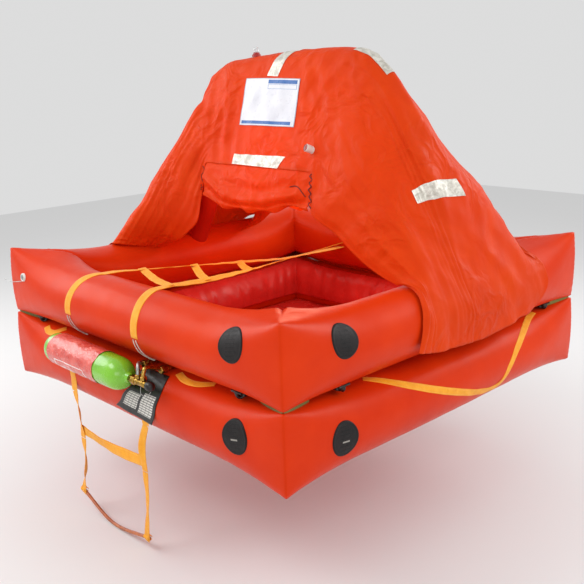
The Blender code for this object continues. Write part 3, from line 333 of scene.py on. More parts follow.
GREEN_PAINT = hard_finish("green_paint", "86CC2E", "6DB41E", 0.22, 0.0, 0.10, 0.5)
BRASS = hard_finish("old_brass", "C9A14E", "7F5B22", 0.26, 1.0, 0.2, patchy=40.0)
STEEL = hard_finish("dull_steel", "BFC0BE", "8E8C88", 0.28, 1.0, 0.2, patchy=30.0)
BLACK_PLASTIC = hard_finish("black_plastic", "1F1A1A", "0B0909", 0.34, patchy=20.0)
WHITE_PLASTIC = hard_finish("white_plastic", "ECEAE4", "D6D2C8", 0.36)
RED_PLASTIC = hard_finish("red_plastic", "B0201C", "7E120F", 0.35)
CLEAR_PLASTIC = hard_finish("clear_plastic", "F2F4F4", "DDE3E4", 0.10, see_through=0.55)
STEP_PLASTIC = hard_finish("step_plastic", "C96F33", "94451C", 0.30, patchy=25.0, coat=0.3)
OLIVE_RUBBER = hard_finish("olive_rubber", "7E7A33", "55531F", 0.5)
WHITE_CORD = hard_finish("white_cord", "EDEAE2", "B9B2A4", 0.6, peel=0.9, patchy=90.0)
DARK_THREAD = hard_finish("dark_thread", "5E1410", "360B09", 0.6, peel=0.6)
print("hard finishes made")

# %% [markdown]
# Printed sheets carry plain bars and fields, and no lettering. The sign is white with two blue
# bars and one empty field. The film round the cylinder is thin and creased, with a white
# outline and pale spots of painted highlight. The label is black with two pale fields of rows.
# Silver tape shows its sealed cells as a faint honeycomb. A relief patch has faint slots and,
# on some, a small pale bar of painted highlight.

# %% Printed finishes


def sign_finish():
    net = Net("sign_sheet")
    net.flat()
    colour = net.mixed(net.spread(net.clouds(12.0, 4.0), 0.3, 0.7), "E4E6EC", "D2D5DE")
    blue = net.maths("MAXIMUM", net.block(0.03, 0.93, 0.035, 0.105),
                     net.block(0.44, 0.96, 0.885, 0.965))
    field = net.maths("SUBTRACT", net.block(0.44, 0.96, 0.775, 0.870),
                      net.block(0.447, 0.953, 0.782, 0.863))
    edge = net.maths("SUBTRACT", 1.0, net.block(0.012, 0.988, 0.012, 0.988))
    for share, code in ((blue, "1F5FA8"), (field, "5B83B4"), (edge, "9FA6B4")):
        colour = net.mixed(share, colour, code)
    return net.done(colour, net.spread(net.clouds(60.0), 0.3, 0.7, 0.24, 0.38),
                    net.relief(net.clouds(26.0, 3.0), 0.25, 0.003), Specular_IOR_Level=0.5)


def tape_finish():
    net = Net("silver_tape")
    cells = net.cells(150.0, net.add("TexCoord", {}).outputs["UV"], "DISTANCE_TO_EDGE")
    drift = net.clouds(40.0, 4.0, 0.6, 1.0)
    colour = net.mixed(net.spread(drift, 0.35, 0.65), "E6E2D8", "B9B4A8")
    colour = net.mixed(net.spread(cells, 0.0, 0.05, 0.35, 0.0), colour, "8D897F")
    normal = net.relief(drift, 0.5, 0.004, net.relief(cells, 0.3, 0.001))
    return net.done(colour, net.spread(drift, 0.3, 0.7, 0.28, 0.46), normal, Metallic=0.35)


def film_finish():
    net = Net("sleeve_film")
    net.flat()
    marks = net.maths("SUBTRACT", net.block(0.52, 0.80, 0.16, 0.80),
                      net.block(0.53, 0.79, 0.175, 0.785))
    for low, high in ((0.24, 0.32), (0.40, 0.46), (0.54, 0.60)):
        marks = net.maths("MAXIMUM", marks, net.block(0.60, 0.615 + (high - low), low, high))
    drift = net.clouds(26.0, 5.0, 0.6, 0.8)
    colour = net.mixed(net.spread(drift, 0.3, 0.7), "EE6A5C", "C8382E")
    # Painted highlight: pale glints put into the film's colour.
    painted_glints = net.spread(net.clouds(60.0, 5.0, 0.65), 0.62, 0.70)
    colour = net.mixed(net.times(painted_glints, 0.7), colour, "F9C9C0")
    colour = net.mixed(net.times(marks, 0.85), colour, "FBEDEA")
    ridges = net.maths("ABSOLUTE", net.maths("SUBTRACT", net.clouds(34.0, 5.0), 0.5))
    return net.done(colour, net.spread(drift, 0.3, 0.7, 0.16, 0.30),
                    net.relief(ridges, 0.9, 0.010), Coat_Weight=0.4, Coat_Roughness=0.1)


def label_finish():
    net = Net("label_sheet")
    u, v = net.flat()
    fields = net.maths("MAXIMUM", net.block(0.10, 0.48, 0.14, 0.50),
                       net.block(0.55, 0.92, 0.10, 0.56))
    rows = net.maths("GREATER_THAN", net.sine(v, 120.0), 0.35)
    columns = net.maths("GREATER_THAN", net.sine(u, 62.0), 0.93)
    lines = net.times(net.maths("MAXIMUM", rows, columns), 0.75)
    shown = net.times(fields, net.maths("SUBTRACT", 1.0, lines))
    drift = net.clouds(30.0, 4.0)
    ground = net.mixed(net.spread(drift, 0.3, 0.7), "1C1818", "0F0C0C")
    return net.done(net.mixed(shown, ground, "D9D5CE"),
                    net.spread(net.clouds(70.0), 0.3, 0.7, 0.26, 0.42),
                    net.relief(drift, 0.4, 0.003), Specular_IOR_Level=0.5)


def patch_finish(name, bar):
    net = Net(name)
    u, v = (net.maths("SUBTRACT", share, 0.5) for share in net.flat())
    slots = net.times(net.maths("COMPARE", u, 0.0, 0.20),
                      net.maths("GREATER_THAN", net.sine(v, 58.0), 0.4))
    drift = net.clouds(40.0, 4.0)
    colour = net.mixed(net.spread(drift, 0.3, 0.7), "1C1515", "100B0B")
    colour = net.mixed(net.times(slots, 0.7), colour, "060404")
    # Painted highlight: a small pale bar of glint in the patch's colour.
    if bar:
        across = net.times(net.maths("COMPARE", u, 0.0, 0.13),
                           net.maths("COMPARE", v, -0.07, 0.022))
        colour = net.mixed(net.times(across, 0.8), colour, "A9A39B")
    normal = net.relief(slots, 0.4, 0.0015, net.relief(drift, 0.3, 0.002))
    return net.done(colour, net.spread(net.clouds(90.0), 0.3, 0.7, 0.42, 0.58), normal,
                    Specular_IOR_Level=0.28)


SIGN_SHEET, SILVER_TAPE, SLEEVE_FILM, LABEL_SHEET = (
    sign_finish(), tape_finish(), film_finish(), label_finish())
# The second patch finish carries the painted glint.
PATCH_PLAIN, PATCH_PAINTED_GLINT = patch_finish("patch_plain", False), patch_finish("patch_painted_glint", True)
print("printed finishes made")

# %% [markdown]
# ## Laying a sheet
# Most of a raft is sheet: cloth glued into tubes, a tent, flat straps. Each such piece starts
# here as a grid primitive, and its corners are then laid on a surface, row by row. The grid's
# own UV map comes along, stretched to the sheet's real size, so that a weave stays in scale.

# %% Helpers for sheets


def corners_of(piece, kind="co"):
    """The places of a piece's corners, or their normals."""
    found = np.empty(len(piece.data.vertices) * 3)
    piece.data.vertices.foreach_get(kind, found)
    return found.reshape(-1, 3)


def set_corners(piece, places):
    piece.data.vertices.foreach_set("co", np.asarray(places, float).reshape(-1))
    piece.data.update()


def sink(piece, depth):
    """Move each corner inwards by its own depth."""
    set_corners(piece, corners_of(piece) - corners_of(piece, "normal") * depth[:, None])


def laid_grid(name, columns, rows, place_of, size=(1.0, 1.0)):
    """A grid whose corners go to place_of(u, v); u runs along the columns and v up the rows."""
    bpy.ops.mesh.primitive_grid_add(x_subdivisions=columns, y_subdivisions=rows, size=2.0,
                                    calc_uvs=True, location=(0.0, 0.0, 0.0))
    piece = bpy.context.object
    piece.name = name
    piece.data.name = name
    u, v = (corners_of(piece)[:, :2].T + 1.0) / 2.0
    set_corners(piece, place_of(u, v))
    laid = piece.data.uv_layers.active.data
    flat = np.empty(len(laid) * 2)
    laid.foreach_get("uv", flat)
    laid.foreach_set("uv", (flat.reshape(-1, 2) * np.array(size)).reshape(-1))
    return piece


def only(piece):
    bpy.ops.object.select_all(action="DESELECT")
    piece.select_set(True)
    bpy.context.view_layer.objects.active = piece


def sew_shut(piece, distance=0.00005, sides=0):
    """Merge what meets, close holes of up to so many sides and turn all faces outwards."""
    only(piece)
    bpy.ops.object.mode_set(mode="EDIT")
    bpy.ops.mesh.select_all(action="SELECT")
    bpy.ops.mesh.remove_doubles(threshold=distance)
    if sides:
        bpy.ops.mesh.fill_holes(sides=sides)
    bpy.ops.mesh.normals_make_consistent(inside=False)
    bpy.ops.object.mode_set(mode="OBJECT")


def apply_change(piece, kind, **settings):
    change = piece.modifiers.new(kind.lower(), kind)
    for key, value in settings.items():
        setattr(change, key, value)
    only(piece)
    bpy.ops.object.modifier_apply(modifier=change.name)


def give_thickness(piece, thickness, offset=-1.0):
    apply_change(piece, "SOLIDIFY", thickness=thickness, offset=offset)


def added(operator, **settings):
    """A primitive mesh with its place, turn and size written into its corners."""
    operator(**settings)
    bpy.ops.object.transform_apply(location=True, rotation=True, scale=True)
    return bpy.context.object


def complete(piece, finish, *replaced, slot=None, angle=50.0, body="raft"):
    """Finish a piece: its material, smooth shading and the body it rides on; slot is not used."""
    piece.data.materials.clear()
    piece.data.materials.append(finish)
    only(piece)
    bpy.ops.object.shade_smooth_by_angle(angle=math.radians(angle))
    if body:
        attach(piece, body)
    if replaced:
        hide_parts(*replaced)
    print(piece.name, "has", len(piece.data.polygons), "faces")
    return piece


def joined(name, first, *others, replaced=()):
    """Put several finished pieces into one."""
    bpy.ops.object.select_all(action="DESELECT")
    for piece in (first, *others):
        piece.select_set(True)
    bpy.context.view_layer.objects.active = first
    bpy.ops.object.join()
    first.name = name
    if replaced:
        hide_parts(*replaced)
    print(name, "joined from", len(others) + 1, "pieces")
    return first


def unit(rows):
    """Vectors of length one."""
    return rows / np.maximum(np.linalg.norm(rows, axis=-1, keepdims=True), 1e-9)


def curve_between(t, start, leave, end, arrive):
    """Points on a smooth curve from one place and direction to another."""
    return (start * (2 * t**3 - 3 * t**2 + 1) + leave * (t**3 - 2 * t**2 + t)
            + end * (3 * t**2 - 2 * t**3) + arrive * (t**3 - t**2))


def running_length(points):
    return np.concatenate([[0.0], np.cumsum(np.linalg.norm(np.diff(points, axis=0), axis=1))])


def smooth_line(points, shares, power=1.0):
    """Points on a smooth curve through the given ones, at shares of its length or a count."""
    points = np.asarray(points, float)
    shares = np.linspace(0.0, 1.0, shares) if np.ndim(shares) == 0 else np.asarray(shares, float)
    knots = running_length(points)
    before = np.maximum(np.arange(len(points)) - 1, 0)
    after = np.minimum(np.arange(len(points)) + 1, len(points) - 1)
    slopes = (points[after] - points[before]) / (knots[after] - knots[before])[:, None]
    place = knots[-1] * shares ** power
    k = np.clip(np.searchsorted(knots, place, side="right") - 1, 0, len(points) - 2)
    span = (knots[k + 1] - knots[k])[:, None]
    t = (place - knots[k])[:, None] / span
    return curve_between(t, points[k], slopes[k] * span, points[k + 1], slopes[k + 1] * span)


def wavy(points, scale=1.0, seed=0.0):
    """Smooth random values, one for each point."""
    shift = Vector((seed, -seed * 0.7, seed * 1.3))
    values = [noise.noise(Vector(p) * scale + shift) for p in np.reshape(points, (-1, 3))]
    return np.array(values).reshape(np.shape(points)[:-1])


def creased(points, scale, seed=0.0):
    """Like wavy, but with sharp ridges such as cloth has."""
    return 1.0 - np.abs(wavy(points, scale, seed)) * 3.0


def hump(value, middle, width):
    """A smooth hump, one at its middle and fading to nought within a few widths."""
    return np.exp(-((value - middle) / width) ** 2)


print("helpers for sheets ready")

# %% [markdown]
# ## Buoyancy tubes
# Each tube is a square ring of four cylinders with mitred ends. Air pressure rounds it along
# the sides, but at a mitre the cloth can't stretch, so the section there grows tall and square.
# The two rings touch only at their corners. The skin below gives that shape for any point of a
# side; the side is a number from 0 to 3, and a place along it runs from -1 to 1.

# %% Shape of a tube
AFLOAT = 0.058          # how deep the raft floats, taken off the model's own heights
TUBE_LINE = 0.7635      # from the raft's middle to the middle line of a tube
TUBE_RADIUS = 0.1265
CORNER_OUT = 0.1040
CORNER_DRAW = 0.006
STACK_HALF = 0.1445
FLARE_LENGTH = 0.34
LOWER = (0.124, STACK_HALF - 0.00015)       # middle line's height at mid-side and at a corner
UPPER = (0.396, 3 * STACK_HALF + 0.00015)
FRONT, RIGHT, REAR, LEFT = range(4)
SIDE_BELLY = 0.012      # how much lower the lower tube sags along the right side


def flare(along):
    """How much of the corner's shape the section has, from 0 to 1."""
    distance = (1.0 - np.abs(along)) * TUBE_LINE
    return np.clip(1.0 - distance / FLARE_LENGTH, 0.0, 1.0) ** 1.8


def section(turn, along):
    """The skin's place out from the tube's middle line and up from it."""
    near = flare(along)
    outer = np.cos(turn) > 0
    exponent = 1.0 - near * np.where(outer, 0.96, 0.35)
    cosine = np.sign(np.cos(turn)) * np.abs(np.cos(turn)) ** exponent
    sine = np.sign(np.sin(turn)) * np.abs(np.sin(turn)) ** exponent
    reach = TUBE_RADIUS + np.where(outer, near * (CORNER_OUT - TUBE_RADIUS), 0.0)
    draw = np.where(outer, near * CORNER_DRAW * sine**2, 0.0)
    rise = (STACK_HALF - TUBE_RADIUS) * (0.35 + 0.65 * np.maximum(0.0, cosine) ** 2)
    return reach * cosine - draw, (TUBE_RADIUS + near * rise) * sine


def middle_line(along, level):
    return level[0] + (level[1] - level[0]) * flare(along)


def sagged_line(side, along, turn, level):
    """The middle line's height, lower under the belly on the right."""
    bow = np.clip(1.0 - along**2, 0.0, 1.0) ** 1.5 * (level is LOWER) * np.equal(side, RIGHT)
    return middle_line(along, level) - SIDE_BELLY * bow * (0.6 - 0.4 * np.sin(turn))


def on_side(side, along, reach, height):
    """Points of the front side, turned to their own side and set afloat."""
    angle = np.asarray(side) * math.pi / 2
    x, y = along * reach, -reach
    return np.stack([x * np.cos(angle) - y * np.sin(angle), x * np.sin(angle) + y * np.cos(angle),
                     height - AFLOAT], -1)


def skin(side, along, turn, level, lift=0.0):
    """Points on the tube, at a height of lift over its skin."""
    side, along, turn = np.broadcast_arrays(side, np.asarray(along, float), turn)

    def place(a, t):
        out, up = section(t, a)
        return on_side(side, a, TUBE_LINE + out, sagged_line(side, a, t, level) + up)

    points = place(along, turn)
    if np.any(lift):
        across = place(along + 0.01, turn) - place(along - 0.01, turn)
        around = place(along, turn + 0.01) - place(along, turn - 0.01)
        points = points + unit(np.cross(across, around)) * np.asarray(lift)[..., None]
    return points


def skin_at(side, distance, turn, level, lift=0.0):
    """Points on the tube at a distance in metres from the middle of a side."""
    distance = np.asarray(distance, float)
    along = distance / TUBE_LINE
    for _round in range(2):
        along = distance / (TUBE_LINE + section(np.asarray(turn, float), along)[0])
    return skin(side, along, turn, level, lift)


print("middle of a side is", np.round(skin(FRONT, 0.0, 0.0, UPPER), 3))

# %% [markdown]
# The grid that lies on the skin closes round the section and round the ring, and is sewn shut.
# The mitre seams pull the cloth in, so short creases fan out from each inner corner, and the
# top of the upper ring has a pinched notch there. Both are pressed into the closed skin with
# its own normals.

# %% Tubes
STATIONS = 88           # grid lines along one side
ROUND = 112             # grid lines round the section


def crease_depths(points, level, depth):
    """How far the skin sinks near the mitres."""
    x, y, z = points.T
    reach = np.maximum(np.abs(x), np.abs(y))
    along = np.minimum(np.abs(x), np.abs(y)) / reach
    turn = np.arctan2(z + AFLOAT - middle_line(along, level), reach - TUBE_LINE) % (2 * math.pi)
    distance = (1.0 - np.abs(along)) * TUBE_LINE
    inner = np.clip(-np.cos(turn), 0.0, 1.0)
    notch = 0.013 * hump(turn, math.radians(118.0), 0.42) * hump(distance, 0.0, 0.016)
    fan = hump(distance, 0.0, 0.085) * (0.25 + 0.75 * inner)
    ripple = np.sin(turn * 23.0 + 2.2 * wavy(points, 9.0, 4.0)) ** 2
    seam = 0.0016 * hump(distance, 0.0, 0.0040)
    slack = 0.0013 * wavy(points, 5.5, 9.0) + 0.0004 * creased(points, 14.0, 2.0)
    return depth * (notch + 0.0040 * fan * ripple + seam) + slack


def even_section(along):
    """Points spaced evenly round the section at one place along a side."""
    shares = np.linspace(0.0, 1.0, 400)
    quarter = np.concatenate([np.arccos(shares[::-1] ** 25), np.arcsin(shares ** 25),
                              shares * math.pi / 2])
    turns = np.unique(np.concatenate([quarter, math.pi - quarter]))
    out, up = section(turns, np.full(len(turns), along))
    up[0] = up[-1] = 0.0
    out, up = np.concatenate([out, out[::-1][1:]]), np.concatenate([up, -up[::-1][1:]])
    length = np.concatenate([[0.0], np.cumsum(np.hypot(np.diff(out), np.diff(up)))])
    even = np.linspace(0.0, length[-1], ROUND + 1)
    return np.interp(even, length, out), np.interp(even, length, up)


def tube(name, level, depth):
    half = np.linspace(0.0, 1.0, STATIONS // 2 + 1) ** 1.25
    stations = np.concatenate([-1.0 + half, (1.0 - half)[::-1][1:]])
    sections = np.array([even_section(along) for along in stations])

    def place(u, v):
        column = np.rint(u * 4 * STATIONS).astype(int)
        side = np.minimum(column // STATIONS, 3)
        k, row = column - side * STATIONS, np.rint(v * ROUND).astype(int)
        out, up = sections[k, 0, row], sections[k, 1, row]
        height = sagged_line(side, stations[k], np.arctan2(up, out), level) + up
        return on_side(side, stations[k], TUBE_LINE + out, height)
    piece = laid_grid(name + "_skin", 4 * STATIONS, ROUND, place, (5.6, 0.8))
    sew_shut(piece, 0.00035)
    sink(piece, crease_depths(corners_of(piece), level, depth))
    complete(piece, TUBE_SKIN, name, slot="tube_fabric", angle=60.0)


tube("lower_tube", LOWER, 0.8)
tube("upper_tube", UPPER, 1.0)

# %% [markdown]
# Where the rings touch at a corner, a strip of rubber closes the crevice. It shows as a narrow
# olive line on both sides of each corner. Between the corners a band of cloth, glued to both
# rings, closes the gap between them.

# %% Corner strips and the joint between the rings
JOINT_LOW, JOINT_HIGH = 0.2485, 0.2715


def crevice_edge(side, along, level, deep, upward):
    """The skin's point that lies deep inside the tube's outermost reach, near the crevice."""
    turns = np.radians(np.linspace(2.0, 89.5, 176)) * upward
    out = section(turns, along)[0]
    return skin(side, along, turns[np.argmin(np.abs(out - (out.max() - deep)))], level)


def corner_strip(name, side, end):
    def place(u, v):
        points = np.zeros((len(u), 3))
        for share in np.unique(u):
            here = u == share
            along = end * (1.0 - (0.003 + 0.100 * share) / TUBE_LINE)
            deep = 0.010 + 0.062 * share
            low = crevice_edge(side, along, LOWER, deep, 1.0)
            high = crevice_edge(side, along, UPPER, deep, -1.0)
            points[here] = low + (high - low) * v[here][:, None]
        return points
    piece = laid_grid(name, 24, 4, place, (0.15, 0.02))
    give_thickness(piece, 0.0016, 0.0)
    complete(piece, OLIVE_RUBBER, slot="tube_fabric")


for side in range(4):
    for end, word in ((-1.0, "a"), (1.0, "b")):
        corner_strip("corner_strip_%d_%s" % (side + 1, word), side, end)


def round_the_ring(u):
    """The side and the place along it, for a share of the whole way round."""
    side = np.minimum((u * 4.0).astype(int), 3)
    return side, np.clip(2.0 * (u * 4.0 - side) - 1.0, -1.0, 1.0)


def lay_joint(u, v):
    side, along = round_the_ring(u)
    touching = 0.5 * (LOWER[1] + UPPER[1]) + 0.004 * (v - 0.5)
    narrow = flare(along)
    height = (JOINT_LOW + (JOINT_HIGH - JOINT_LOW) * v) * (1 - narrow) + touching * narrow
    return on_side(side, along, TUBE_LINE + 0.006 * np.sin(math.pi * v), height)


joint = laid_grid("ring_joint", 240, 4, lay_joint, (6.0, 0.03))
sew_shut(joint, 0.0002)
give_thickness(joint, 0.0012, 0.0)
complete(joint, TUBE_SKIN, slot="tube_fabric")

# %% [markdown]
# ## Canopy
# The tent is one sheet: it climbs from the left hem to the ridge over the arch and comes down
# again to the long skirt on the right. A rib is one such line over the whole tent, and the
# sheet is made of many ribs from the front opening to the rear one. A few ribs were measured on
# each side, from the hem up to the roof; the others are blended from their neighbours. Each row
# below is one of them, in millimetres: x, y and z of its points, one after another.

# %% Measured lines of the canopy
SLIT_LEFT, SLIT_RIGHT = -0.365, 0.300
RIDGE_Y = 0.04
RIDGES = (1.322, 1.350, 1.361)      # the ridge's height at the left, the middle and the right
HINGE_Z, HINGE_OUT = 0.900, 0.190
HEM = 1000 * (TUBE_LINE + TUBE_RADIUS) + 9.0            # x of the hem over the tube
EL, ER = 1000 * SLIT_LEFT - 2.1, 1000 * SLIT_RIGHT + 1.1    # x of the roof's two edges
LEFT_FRONT = (
    (-672, -200, 488, -522, -200, 545, -457, -198, 586, -390, -195, 640, -373, -182, 725,
     -373, -162, 800, EL, -150, 900),
    (-700, -335, 516, -600, -280, 660, -535, -230, 780, -478, -172, 930, -427, -112, 1030,
     EL, -85, 1060),
    (-742, -412, 530, -650, -300, 704, -581, -200, 890, -512, -100, 1076, -470, -45, 1160,
     -420, -40, 1172, EL, -50, 1178),
    (-800, -390, 516, -763, -335, 590, -692, -225, 765, -630, -110, 945, -560, -40, 1090,
     -492, -25, 1180, -430, -25, 1225, EL, -30, 1245),
    (-884, -385, 430, -862, -362, 482, -790, -255, 640, -690, -110, 850, -605, -30, 1035,
     -525, -17, 1160, -460, -17, 1225, EL, -20, 1272),
    (-HEM, -370, 330, -HEM, -345, 410, -868, -310, 488, -778, -170, 665, -668, -50, 905,
     -572, -8, 1105, -508, -10, 1205, -440, -10, 1266, EL, -10, 1296))
LEFT_MIDDLE = (-HEM, 40, 310, -HEM, 40, 410, -868, 40, 488, -800, 40, 640, -690, 40, 870,
               -628, 40, 1020, -568, 40, 1140, -510, 40, 1225, -435, 40, 1290, EL, 40, 1322)
RIGHT_ROWS = (
    (HEM, -255, 330, HEM, -235, 410, 872, -207, 470, 832, -180, 512, 749, -168, 524,
     663, -178, 554, 562, -180, 602, 442, -180, 682, 327, -182, 742, 306, -170, 800,
     ER, -150, 900),
    (HEM, -160, 308, HEM, -150, 410, 872, -140, 478, 790, -130, 590, 650, -160, 740,
     500, -150, 900, 400, -110, 1020, ER, -85, 1060),
    (HEM, 0, 293, HEM, 0, 410, 874, 0, 484, 790, -20, 650, 700, -45, 850, 575, -45, 1075,
     440, -45, 1180, ER, -50, 1198),
    (HEM, 90, 287, HEM, 90, 410, 874, 80, 484, 795, 50, 670, 725, 10, 870, 650, -5, 1045,
     588, -10, 1166, 518, -10, 1252, 424, -10, 1316, ER, -10, 1332),
    (HEM, 190, 287, HEM, 190, 410, 874, 180, 484, 798, 150, 680, 738, 100, 890, 670, 50, 1065,
     600, 40, 1183, 533, 40, 1271, 432, 40, 1344, ER, 40, 1361),
    (HEM, 360, 308, HEM, 360, 410, 874, 350, 484, 797, 310, 680, 735, 240, 860, 640, 140, 1050,
     575, 90, 1165, 500, 90, 1255, 420, 90, 1320, ER, 90, 1332),
    (HEM, 500, 333, HEM, 490, 410, 876, 470, 482, 790, 430, 650, 712, 340, 810, 640, 215, 975,
     577, 120, 1120, 490, 105, 1225, 410, 104, 1266, ER, 106, 1280),
    (900, 588, 428, 878, 590, 466, 838, 575, 508, 785, 560, 548, 730, 545, 612, 677, 500, 690,
     635, 400, 820, 593, 300, 953, 555, 200, 1081, 490, 140, 1170, 400, 126, 1204,
     ER, 126, 1216),
    (832, 562, 512, 785, 550, 545, 730, 530, 605, 670, 480, 690, 610, 370, 830, 535, 265, 985,
     455, 185, 1100, ER, 140, 1165),
    (760, 530, 532, 700, 500, 620, 620, 390, 800, 515, 270, 980, 410, 185, 1090, ER, 150, 1120),
    (700, 490, 514, 600, 430, 660, 510, 330, 830, 410, 225, 1000, ER, 165, 1060),
    (660, 460, 487, 480, 360, 590, 345, 280, 700, 306, 245, 790, ER, 230, 900))


def in_metres(rows):
    return [np.reshape(row, (-1, 3)) / 1000.0 for row in rows]


LEFT_LINES = in_metres(LEFT_FRONT + (LEFT_MIDDLE,))
LEFT_LINES += [line * (1, -1, 1) + (0, 2 * RIDGE_Y, 0) for line in LEFT_LINES[-2::-1]]
RIGHT_LINES = in_metres(RIGHT_ROWS)
print(len(LEFT_LINES), "lines on the left,", len(RIGHT_LINES), "on the right")

# %% [markdown]
# The roof's profile, seen from the side, is a rounded ridge over the arch with a straight slope
# to each opening. A rib crosses it at one share of the way from the front opening to the rear.

# %% Surface of the canopy
RIBS = 170              # ribs from the front opening to the rear one
SIDE_STEPS = 96         # steps of a rib on each side panel
ROOF_STEPS = 84         # steps of a rib over the roof
STEPS_ALL = 2 * SIDE_STEPS + ROOF_STEPS - 2
ROOF_SEAMS = SIDE_STEPS - 1, SIDE_STEPS + ROOF_STEPS - 2


def ridge_height(x):
    share = (x - SLIT_LEFT) / (SLIT_RIGHT - SLIT_LEFT)
    bulge = RIDGES[1] - (RIDGES[0] + RIDGES[2]) / 2.0
    return RIDGES[0] + (RIDGES[2] - RIDGES[0]) * share + bulge * (1.0 - (2.0 * share - 1.0) ** 2)


def roof_curve(x, shares):
    top = ridge_height(x)
    half = [(0.0, top), (0.031, top - 0.008), (0.059, top - 0.040), (0.125, 1.060),
            (HINGE_OUT, HINGE_Z)]
    line = ([(x, RIDGE_Y - out, z) for out, z in reversed(half)]
            + [(x, RIDGE_Y + out, z) for out, z in half[1:]])
    return smooth_line(line, shares)


def share_on_roof(point, x):
    """Where along the roof's profile a point of a side line meets it."""
    shares = np.linspace(0.0, 1.0, 801)
    profile = roof_curve(x, shares)
    return shares[np.argmin(np.linalg.norm(profile[:, 1:] - np.array(point)[1:], axis=1))]


def blended(lines, x, shares):
    """The ribs of a side panel, at finer shares of the way than its measured lines."""
    keys = [0.0] + [share_on_roof(line[-1], x) for line in lines[1:-1]] + [1.0]
    table = np.array([smooth_line(line, SIDE_STEPS, 1.1) for line in lines])
    index = np.interp(shares, keys, np.arange(len(lines)))
    k = np.clip(index.astype(int), 0, len(lines) - 2)
    first, second = table[k], table[k + 1]
    before, after = table[np.maximum(k - 1, 0)], table[np.minimum(k + 2, len(lines) - 1)]
    span = np.linalg.norm(second - first, axis=2, keepdims=True)
    return curve_between((index - k)[:, None, None], first, unit(second - before) * span,
                         second, unit(after - first) * span)


def lift_off_tube(points, room):
    """Move points that lie closer to the upper ring than room out along its section."""
    x, y, z = points[..., 0], points[..., 1], points[..., 2]
    right = np.abs(x) > np.abs(y)
    reach = np.maximum(np.abs(x), np.abs(y))
    along = np.minimum(np.abs(x), np.abs(y)) / np.maximum(reach, 1e-6)
    axis = middle_line(along, UPPER)
    out, up = reach - TUBE_LINE, z - axis
    size = np.hypot(*section(np.arctan2(up, out), along)) + room
    scale = np.maximum(1.0, size / np.maximum(np.hypot(out, up), 1e-6))
    reach = TUBE_LINE + out * scale
    return np.stack([np.where(right, np.sign(x) * reach, x),
                     np.where(right, y, np.sign(y) * reach), axis + up * scale], -1)


def canopy_table():
    """All ribs of the smooth tent, before folds, in the model's own heights."""
    shares = np.linspace(0.0, 1.0, RIBS)
    left = blended(LEFT_LINES, SLIT_LEFT, shares)
    right = blended(RIGHT_LINES, SLIT_RIGHT, shares)[:, ::-1]
    across = np.linspace(SLIT_LEFT, SLIT_RIGHT, ROOF_STEPS)
    roof = np.array([roof_curve(x, shares) for x in across]).transpose(1, 0, 2)
    table = np.concatenate([left[:, :-1], roof, right[:, 1:]], axis=1)
    near = sum(hump(np.arange(STEPS_ALL), seam, 7.0) for seam in ROOF_SEAMS)
    share = np.clip(near, 0.0, 1.0)[None, 1:-1, None]
    for _round in range(6):
        inner = table[:, 1:-1] * 0.5 + (table[:, :-2] + table[:, 2:]) * 0.25
        table[:, 1:-1] = table[:, 1:-1] * (1 - share) + inner * share
    return lift_off_tube(table, 0.0075)


def grid_normals(table):
    normal = unit(np.cross(np.gradient(table, axis=1), np.gradient(table, axis=0)))
    middle = np.array([0.0, RIDGE_Y, 0.35 + AFLOAT])
    return -normal if np.sum(normal * (table - middle), axis=2).mean() < 0 else normal


TABLE = canopy_table()
print("the tent has", RIBS, "ribs of", TABLE.shape[1], "points")

# %% [markdown]
# A thin tent under light tension folds in two ways. Long folds run down from the shoulders,
# where the arch gathers the cloth, and widen towards the hems. Short crumples from packing lie
# all over it in every direction, with sharp ridges. Both grow from smooth random values, so
# they come out the same each time. Folds fade where the cloth lies on the arch.

# %% Folds of the canopy
# Families of creases: direction across the folds, spacing and height.
ROOF_CREASES = (((1.0, 0.1, 0.15), 0.085, 0.0075), ((1.0, 0.3, -0.5), 0.11, 0.0075),
                ((-0.8, 0.2, 0.6), 0.07, 0.0055), ((0.4, 0.1, 1.0), 0.10, 0.0045),
                ((1.0, -0.4, 0.9), 0.055, 0.0040), ((0.9, 0.2, 0.0), 0.16, 0.0090))
PANEL_CREASES = (((0.1, 1.0, 0.12), 0.12, 0.0100), ((0.3, 1.0, -0.35), 0.16, 0.0110),
                 ((-0.3, 1.0, 0.45), 0.09, 0.0065), ((0.2, 0.6, 1.0), 0.13, 0.0050),
                 ((0.0, 1.0, 0.25), 0.22, 0.0120))
FLAP_CREASES = (((1.0, 0.0, 0.7), 0.10, 0.016), ((-1.0, 0.0, 0.8), 0.13, 0.018),
                ((0.3, 0.0, 1.0), 0.075, 0.012))
CLOTH_THICK = 0.0016


def creases(points, families, seed):
    """Straight, sharp folds of a few families, each in its own area."""
    total = 0.0
    for number, (direction, spacing, height) in enumerate(families):
        run = points @ unit(np.array(direction)) / spacing + 0.9 * wavy(points, 2.4, seed + number)
        zigzag = 2.0 * np.abs(run - np.floor(run) - 0.5)
        area = np.clip(2.6 * wavy(points, 2.9, seed + 20.0 + number * 1.7) + 0.15, 0.0, 1.0)
        total = total + height * area * (1.0 - zigzag) ** 1.4
    return total


